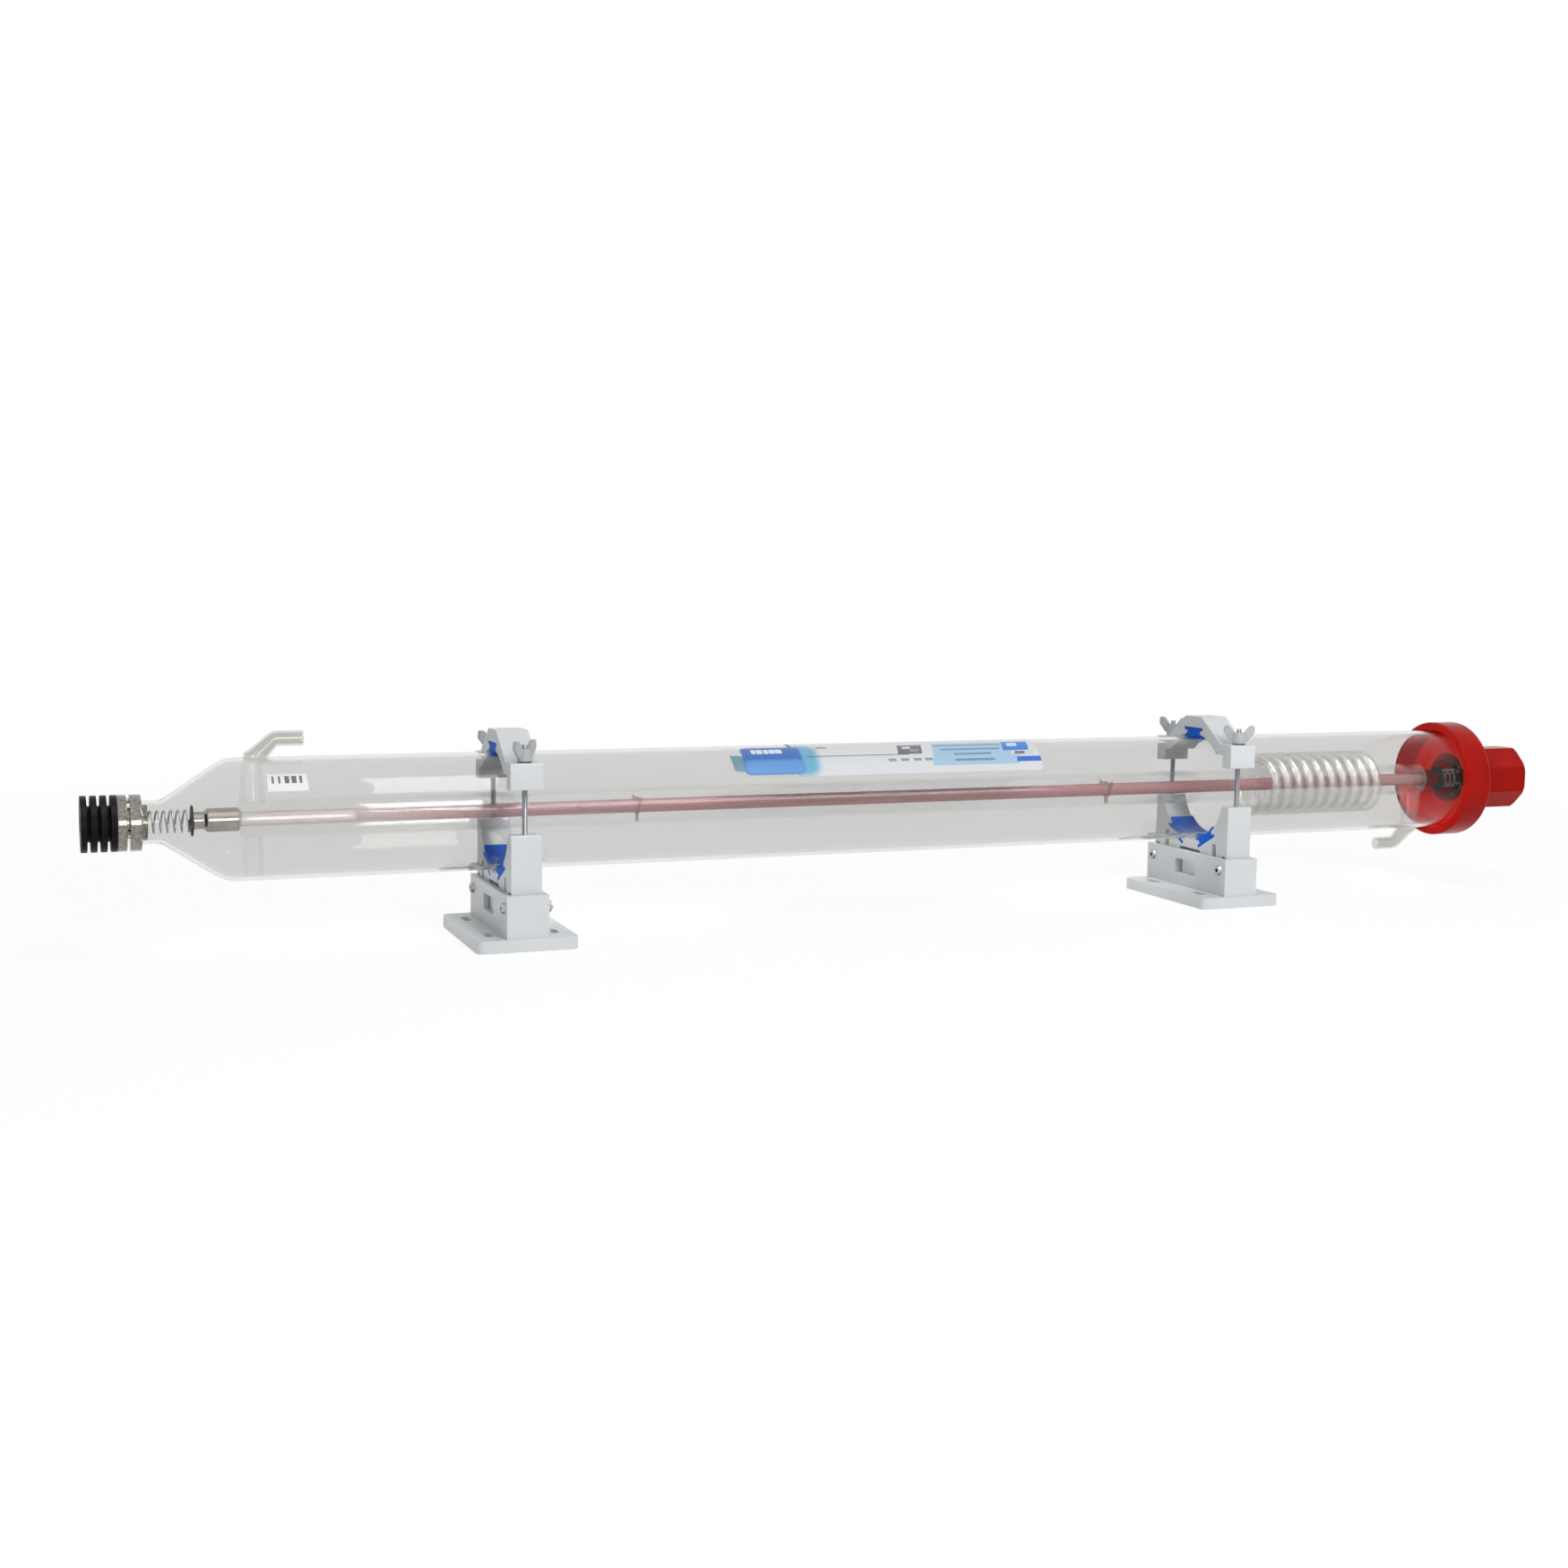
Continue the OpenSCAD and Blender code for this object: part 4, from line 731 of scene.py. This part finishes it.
class LASERTUBE_OT_head(bpy.types.Operator):
    """Turns the finned heat sink, the mirror mounts, the electrodes and their springs"""
    bl_idname = "lasertube.head"
    bl_label = "Output head and electrodes"

    def execute(self, context):
        # The dark tones give both finishes patches of painted reflection
        bright = turned_steel("nickel_plated_turned", "#B6B2A8", 0.12, 0.4, "#242119", 2.0)
        sheet = turned_steel("nickel_sheet_spun", "#D0CBC4", 0.14, 1.0, "#857E75", 3, (0.25, 1, 1))
        dull = plain_steel("steel_zinc_plated", "#A9ADB2", 0.35)
        dark = plain_steel("steel_blackened", "#37322E", 0.5)
        rubber, optic = seal_rubber(), coated_mirror()

        lo, hi = low_high("heat_sink")
        length, r = (hi[0] - lo[0]) / MM, (hi[2] - lo[2]) / 2 / MM
        fins, thick, core = 4, 3.9, 11.5
        pitch = (length - thick) / (fins - 1)
        corners, radii = [], []
        for k in range(fins):
            x = k * pitch
            corners += [(x, core), (x, r), (x + thick, r), (x + thick, core)]
            radii += [0.4 if k else 0.0, 0.35, 0.35, 0.4 if k < fins - 1 else 0.0]
        corners[0], corners[-1] = (0, 6.0), (length, 6.0)
        radii[0] = radii[-1] = 0.4
        outline = along_x(eased(corners, radii, 3), lo[0])
        finish_piece(turned("finned_heat_sink", outline, steps=96), black_anodised(),
                     replaces=["heat_sink"])

        lo, hi = low_high("output_mount")
        corners = [(0, 18), (5.7, 18), (5.7, 10), (7.5, 10), (7.5, 18), (14.5, 18), (14.5, 11.5), (18.2, 11.5),
                   (18.2, 5), (4.8, 5), (4.8, 9.55), (0, 9.55)]
        outline = along_x(eased(corners, [0.4, 0.3, 0.15, 0.15, 0.3, 0.5, 0.2, 0.4, 0.3, 0.1, 0.1, 0.2], 3), lo[0])
        finish_piece(turned("mirror_mount", outline, steps=96), bright, replaces=["output_mount"])

        for node, finish in (("output_screws", dull), ("rear_screws", dull), ("rear_mount", bright),
                             ("rear_cover", bright), ("output_seal", rubber), ("rear_seal", rubber),
                             ("output_mirror", optic), ("rear_mirror", optic), ("anode_terminal", turned_brass())):
            dress(node, finish)

        # The anode is the shorter one and faces the other way
        for node, mirrored, barrel in (("cathode", False, 19.0), ("anode", True, 8.0)):
            lo, hi = low_high(node)
            length = (hi[0] - lo[0]) / MM
            collar = length - barrel
            corners = [(0, 4.85), (0, 5.65), (collar - 2.1, 5.65), (collar, 7.75), (length, 7.75), (length, 6.95),
                       (collar + 0.3, 6.95), (collar - 1.8, 4.85)]
            outline = eased(corners, [0.25, 0.25, 1.2, 1.2, 0.3, 0.3, 0.9, 0.9], 4)
            if mirrored:
                outline[:, 0] = length - outline[:, 0]
            finish_piece(turned(f"{node}_sheet", along_x(outline, lo[0]), steps=72), sheet,
                         replaces=[node])

        for node in ("cathode_seat", "anode_seat"):
            lo, hi = low_high(node)
            t = (hi[0] - lo[0]) / MM
            outline = eased([(0, 3.85), (0, 10), (t, 10), (t, 3.85)], [0.2, 0.4, 0.4, 0.2], 3)
            finish_piece(turned(f"{node}_disc", along_x(outline, lo[0]), steps=64), dark,
                         replaces=[node])

        for node, turns in (("cathode_spring", 6), ("anode_spring", 5)):
            lo, hi = low_high(node)
            wire = 0.55 * MM
            mean = (hi[1] - lo[1]) / 2 - wire
            sweep, ease = 360.0 * turns, 90.0
            # The slowing last turn advances by half of what a full one does over the same angle
            pitch = (hi[0] - lo[0] - 2 * wire) / (turns - ease / 720)
            t = np.linspace(0, sweep, 40 * turns)
            outline = np.concatenate([[(0, 0)], np.stack([t, np.full_like(t, wire)], -1), [(sweep, 0)]])
            winding = partial(helix, x0=lo[0] + wire, radius=mean, pitch=pitch, sweep=sweep, ease=ease, levels=False)
            finish_piece(turned(f"{node}_wire", outline, winding, steps=14, closed=False), dull,
                         replaces=[node])
        return {"FINISHED"}


# ---------------------------------------------------------------- cap and labels

class LASERTUBE_OT_cap(bpy.types.Operator):
    """Moulds the red end cap"""
    bl_idname = "lasertube.cap"
    bl_label = "Red end cap"

    def execute(self, context):
        piece = softened("end_cap", "red_end_cap", 0.9, "tube", 3, 20)
        piece.data.materials.append(moulded_red("pvc_gloss_red", "#820B05", "#980E06", 0.22))
        # A brighter copy of the red for the inner faces: painted light standing in for the light that the closed cap's
        # inside lacks
        piece.data.materials.append(moulded_red("pvc_matt_red_painted_light", "#CF140B", "#E8170D", 0.6))
        # Inner faces, which take the painted light, look at the axis, or back along the tube from behind the rim
        mesh = piece.data
        centre, normal = rows_of(mesh.polygons, "center"), rows_of(mesh.polygons, "normal")
        inwards = -(centre[:, 1] * normal[:, 1] + (centre[:, 2] - AXIS_H) * normal[:, 2])
        inwards /= np.maximum(np.hypot(centre[:, 1], centre[:, 2] - AXIS_H), 1e-6)
        behind_rim = low_high("end_cap")[0][0] + 5 * MM
        inside = (inwards > 0.5) | ((normal[:, 0] < -0.9) & (centre[:, 0] > behind_rim))
        mesh.polygons.foreach_set("material_index", inside.astype(np.int32))
        return {"FINISHED"}


class LASERTUBE_OT_labels(bpy.types.Operator):
    """Lays the printed label and the small sticker on the glass"""
    bl_idname = "lasertube.labels"
    bl_label = "Label and sticker"

    def execute(self, context):
        for node, name, low, high, mat in (("tube_label", "printed_label", 31.0, 118.0, printed_label()),
                                           ("small_sticker", "numbered_sticker", 31.5, 51.0, numbered_sticker())):
            lo, hi = low_high(node)
            nu, nv = max(8, int((hi[0] - lo[0]) / (6 * MM))), 48
            u = np.linspace(0, 1, nu + 1)
            v = np.linspace(0, 1, nv + 1)
            gu, gv = np.meshgrid(u, v, indexing="ij")
            a = np.radians(low + (high - low) * gv)
            inner, outer = TUBE_R + 0.05 * MM, TUBE_R + 0.22 * MM
            shells = [np.stack([lo[0] + (hi[0] - lo[0]) * gu, -r * np.cos(a), AXIS_H + r * np.sin(a)], -1)
                      for r in (outer, inner)]
            n = (nu + 1) * (nv + 1)
            top = lattice(nu + 1, nv + 1, False, False)
            ring = np.concatenate([np.arange(nv + 1), np.arange(1, nu + 1) * (nv + 1) + nv,
                                   n - 2 - np.arange(nv), np.arange(nu - 1, 0, -1) * (nv + 1)])
            nxt = np.roll(ring, -1)
            sides = np.stack([ring, nxt, nxt + n, ring + n], -1)
            piece = make_piece(name, np.concatenate([s.reshape(-1, 3) for s in shells]),
                               np.concatenate([top, top[:, ::-1] + n, sides]))
            mesh = piece.data
            uv = mesh.uv_layers.new(name="print_mm")
            co = rows_of(mesh.vertices, "co")
            index = np.empty(len(mesh.loops), int)
            mesh.loops.foreach_get("vertex_index", index)
            arc = TUBE_R / MM * (np.arctan2(co[:, 2] - AXIS_H, -co[:, 1]) - math.radians(low))
            flat = np.stack([(co[:, 0] - lo[0]) / MM, arc], -1)[index]
            uv.data.foreach_set("uv", flat.astype(np.float32).ravel())
            finish_piece(piece, mat, replaces=[node])
        return {"FINISHED"}


# ---------------------------------------------------------------- holders

def threaded_rod(name, x, y, z0, z1, radius, pitch, fine):
    """A stud: the radius dips by a triangle wave of (height / pitch - angle / full turn), and the rows are close only
    in
    the stretches given as fine; the ends are chamfered."""
    depth = 0.6 * pitch
    rows = [np.array([z0, z0 + 0.3 * MM])]
    for a, b in fine:
        rows.append(np.arange(a, b, pitch / 6))
    rows.append(np.array([z1 - 0.8 * MM, z1 - 0.4 * MM, z1]))
    z = np.unique(np.concatenate(rows))
    z = z[(z >= z0) & (z <= z1)]
    n = 22
    a = np.linspace(0, TAU, n, endpoint=False)
    zz, aa = np.meshgrid(z, a, indexing="ij")
    wave = np.abs(((zz / pitch - aa / TAU) % 1) * 2 - 1)
    inside = np.zeros_like(zz)
    for lo, hi in fine:
        inside = np.maximum(inside, (zz > lo) * (zz < hi))
    r = radius - depth * wave * inside
    r = np.minimum(r, radius - 0.5 * MM + np.minimum(zz - z0, z1 - zz) * 1.2)
    points = np.stack([x + r * np.cos(aa), y + r * np.sin(aa), zz], -1)
    ends = np.array([[x, y, z0], [x, y, z1]])
    m = len(z)
    faces = lattice(m, n, False, True).tolist()
    j = np.arange(n)
    after, last = (j + 1) % n, (m - 1) * n
    fans = np.concatenate([np.stack([j, after, np.full(n, m * n)], -1),
                           np.stack([last + after, last + j, np.full(n, m * n + 1)], -1)]).tolist()
    return make_piece(name, np.concatenate([points.reshape(-1, 3), ends]), faces + fans, 50)


def darken_sockets(piece, node, material):
    """Gives the faces inside the bolts' sockets their own dark material, painted shade for the shade deep in the
    sockets: those nearer to a bolt's axis than two thirds of its head and just behind the head's front."""
    lo, hi = low_high(node)
    head_r = (hi[2] - lo[2]) / 2
    mesh = piece.data
    centre = rows_of(mesh.polygons, "center")
    off_axis = np.minimum(np.abs(centre[:, 1] - lo[1] - head_r), np.abs(centre[:, 1] - hi[1] + head_r))
    reach = np.hypot(off_axis, centre[:, 2] - (lo[2] + hi[2]) / 2)
    inside = (reach < 0.67 * head_r) & (centre[:, 0] > lo[0] + 0.3 * MM) & (centre[:, 0] < lo[0] + 2 * MM)
    mesh.materials.append(material)
    mesh.polygons.foreach_set("material_index", inside.astype(np.int32))


class LASERTUBE_OT_holders(bpy.types.Operator):
    """Moulds both holders and fits their pads, studs, bolts and wing nuts"""
    bl_idname = "lasertube.holders"
    bl_label = "Holders"

    def execute(self, context):
        sizes = context.scene.laser_tube_sizes
        edge = sizes.edge / MM
        abs_grey = moulded_abs("abs_moulded_pale_grey", tuple(context.scene.laser_tube_colours.holder))
        nylon = moulded_abs("nylon_moulded_white", linear("#A9AAAF"), 0.35, 0.5)
        pads = cut_rubber()
        dull = bpy.data.materials["steel_zinc_plated"]
        washer = plain_steel("steel_washer_dark", "#55575B", 0.4)
        # Painted shade: a near-black that stands for the shade inside the bolts' sockets, not a finish of the steel
        socket_shade = plain_steel("painted_socket_shade", "#0B0B0C", 0.6)
        for side in ("left", "right"):
            for part, body, width, mat, slot in (
                    ("base", f"{side}_foot", edge, abs_grey, "holder_plastic"),
                    ("cradle", "tube", edge, abs_grey, "holder_plastic"),
                    ("clamp", "tube", edge, abs_grey, "holder_plastic"),
                    ("lower_pads", "tube", 0.3, pads, "blue_pad"),
                    ("upper_pad", "tube", 0.3, pads, "blue_pad"),
                    ("bolts", f"{side}_foot", 0.25, dull, "fastener_steel"),
                    ("nuts", f"{side}_foot", 0.25, dull, "fastener_steel"),
                    ("washers", "tube", 0.15, washer, "dark_washer"),
                    ("front_wing_nut", f"{side}_front_nut", 0.6, nylon, "nut_plastic"),
                    ("rear_wing_nut", f"{side}_rear_nut", 0.6, nylon, "nut_plastic")):
                piece = softened(f"{side}_{part}", f"{side}_{part}_dressed", width, body)
                piece.data.materials.append(mat)
                # The sockets of the bolts get the painted shade
                if part == "bolts":
                    darken_sockets(piece, f"{side}_bolts", socket_shade)
            lo, hi = low_high(f"{side}_studs")
            r = (hi[0] - lo[0]) / 2
            x = (lo[0] + hi[0]) / 2
            post = low_high(f"{side}_cradle")[1][2]
            clamp_lo = low_high(f"{side}_clamp")[0][2]
            nut_top = low_high(f"{side}_front_wing_nut")[1][2]
            for y, where in ((lo[1] + r, "front"), (hi[1] - r, "rear")):
                rod = threaded_rod(f"{side}_{where}_stud", x, y, lo[2], hi[2], r, sizes.thread_pitch,
                                   [(post - 3 * MM, clamp_lo + 3 * MM), (nut_top - 8 * MM, hi[2])])
                finish_piece(rod, dull, replaces=[f"{side}_studs"])
        return {"FINISHED"}


# ---------------------------------------------------------------- stage

VIEW = {"yaw": 21.847688, "pitch": 6.085185, "roll": -0.666775, "focal_px": 2156.965, "image_px": 1750.0,
        "from_left_holder": (-311.359, -1278.880, 246.307), "sensor_mm": 36.0}


def softbox(name, at, target, size, watts):
    """A rectangular lamp that faces its target."""
    data = bpy.data.lights.new(name, "AREA")
    data.shape = "RECTANGLE"
    data.size, data.size_y = size
    data.energy = watts
    lamp = bpy.data.objects.new(name, data)
    lamp.location = at
    lamp.rotation_euler = (Vector(target) - Vector(at)).to_track_quat("-Z", "Y").to_euler()
    bpy.context.scene.collection.objects.link(lamp)
    return lamp


def seen(tree):
    """1 for a ray from the camera, through glass or off gloss, and 0 for the light that falls on the object."""
    path = add(tree, "LightPath")
    share = path.outputs["Is Camera Ray"]
    for other in ("Is Transmission Ray", "Is Glossy Ray"):
        share = add(tree, "Math", {"operation": "MAXIMUM"}, i0=share, i1=path.outputs[other]).outputs[0]
    return share


class LASERTUBE_OT_stage(bpy.types.Operator):
    """Sets the camera, the lamps, the pale world and the floor"""
    bl_idname = "lasertube.stage"
    bl_label = "Stage"

    def execute(self, context):
        scene = context.scene
        scene.view_settings.view_transform = "Standard"
        y, p, r = (math.radians(VIEW[k]) for k in ("yaw", "pitch", "roll"))
        ahead = Vector((math.sin(y) * math.cos(p), math.cos(y) * math.cos(p), -math.sin(p)))
        level = Vector((math.cos(y), -math.sin(y), 0))
        under = ahead.cross(level)
        right = math.cos(r) * level + math.sin(r) * under
        down = -math.sin(r) * level + math.cos(r) * under
        turn = Matrix((right, -down, -ahead)).transposed().to_4x4()
        data = bpy.data.cameras.new("camera")
        data.sensor_width = VIEW["sensor_mm"]
        data.lens = VIEW["focal_px"] / VIEW["image_px"] * VIEW["sensor_mm"]
        data.clip_end = 50
        camera = bpy.data.objects.new("camera", data)
        lo, hi = low_high("left_base")
        start = Vector(((lo[0] + hi[0]) / 2, 0, 0))
        turn.translation = start + Vector(VIEW["from_left_holder"]) * MM
        camera.matrix_world = turn
        scene.collection.objects.link(camera)
        scene.camera = camera

        # Two broad lamps light the forms and stay out of reflections
        for name, at, size, watts in (("key_softbox", (0.72, -2.04, 1.13), (1.2, 0.9), 16),
                                      ("fill_softbox", (-0.9, -1.9, 0.9), (1.0, 0.8), 3)):
            softbox(name, at, (0, 0, 0.09), size, watts).visible_glossy = False
        # A narrow beam reaches along the tube into the cap, and a low strip gives polished metal its white line
        aim = softbox("cap_beam", (-0.85, -0.95, 0.5), (0.48, 0, 0.09), (0.08, 0.08), 0.055)
        aim.data.spread = math.radians(7)
        softbox("low_strip", (-0.27, -2.0, 0.35), (-0.4, 0, 0.09), (0.38, 0.62), 4.5).visible_diffuse = False
        # One long narrow window over the tube: its light falls on everything, its gleam shows only in reflections
        for name, watts, lights in (("window_light", 10, True), ("window_gleam", 32, False)):
            window = softbox(name, (0.038, -0.873, 1.7), (0.038, -0.873, 0), (0.23, 1.2), watts)
            window.rotation_euler.rotate_axis("Z", math.radians(5.2))
            window.visible_diffuse = lights
        scene.cycles.max_bounces = 24
        scene.cycles.transmission_bounces = 16
        scene.cycles.transparent_max_bounces = 64

        world = bpy.data.worlds.new("pale_studio")
        world.use_nodes = True
        tree = world.node_tree
        tree.nodes.clear()
        level = add(tree, "MapRange", Value=seen(tree), To_Min=0.55, To_Max=1.0)
        sky = add(tree, "Background", Color=linear("#FFFFFF"), Strength=level)
        add(tree, "OutputWorld", Surface=sky)
        scene.world = world

        # A round floor of rings, a hair under the frame's own level
        n = 48
        a = np.linspace(0, TAU, n, endpoint=False)
        rows = np.array([0.0, 0.5, 1.0, 2.0, 4.0, 8.0])
        points = np.stack([rows[:, None] * np.cos(a), rows[:, None] * np.sin(a),
                           np.full((len(rows), n), -0.2 * MM)], -1)
        floor = make_piece("floor", points, lattice(len(rows), n, False, True))
        if floor.data.polygons[0].normal.z < 0:
            floor.data.flip_normals()
        mat, tree, shader = new_material("paper_sweep_white", tuple(scene.laser_tube_colours.floor), 0.9)
        place = add(tree, "TexCoord")
        far = add(tree, "VectorMath", {"operation": "LENGTH"}, i0=place.outputs["Object"])
        away = add(tree, "MapRange", {"interpolation_type": "SMOOTHSTEP"}, Value=far.outputs["Value"],
                   From_Min=0.5, From_Max=1.4)
        veil = add(tree, "MapRange", Value=away, To_Min=0.88, To_Max=1.0)
        both = add(tree, "Math", {"operation": "MULTIPLY"}, i0=veil, i1=seen(tree))
        glow = add(tree, "Emission", Color=linear("#FFFFFF"), Strength=1.0)
        mix = add(tree, "MixShader", i0=both, i1=shader, i2=glow)
        put_out(tree, mix.outputs[0])
        floor.data.materials.append(mat)
        return {"FINISHED"}


class LASERTUBE_PT_panel(bpy.types.Panel):
    """Lists the steps that dress the tube"""
    bl_label = "Laser Tube"
    bl_idname = "LASERTUBE_PT_panel"
    bl_space_type = "VIEW_3D"
    bl_region_type = "UI"
    bl_category = "Laser Tube"

    def draw(self, context):
        column = self.layout.column()
        for step in STEPS:
            column.operator(f"lasertube.{step}")
        for group in (context.scene.laser_tube_sizes, context.scene.laser_tube_colours):
            for key in group.bl_rna.properties.keys():
                if key not in ("rna_type", "name"):
                    column.prop(group, key)


STEPS = ("glass", "head", "cap", "labels", "holders", "stage")
CLASSES = (LaserTubeSizes, LaserTubeColours, LASERTUBE_OT_glass, LASERTUBE_OT_head, LASERTUBE_OT_cap,
           LASERTUBE_OT_labels, LASERTUBE_OT_holders, LASERTUBE_OT_stage, LASERTUBE_PT_panel)


def register():
    for cls in CLASSES:
        bpy.utils.register_class(cls)
    bpy.types.Scene.laser_tube_sizes = PointerProperty(type=LaserTubeSizes)
    bpy.types.Scene.laser_tube_colours = PointerProperty(type=LaserTubeColours)


def unregister():
    del bpy.types.Scene.laser_tube_colours
    del bpy.types.Scene.laser_tube_sizes
    for cls in reversed(CLASSES):
        bpy.utils.unregister_class(cls)


def main():
    register()
    for step in STEPS:
        getattr(bpy.ops.lasertube, step)()


if __name__ == "__main__":
    main()
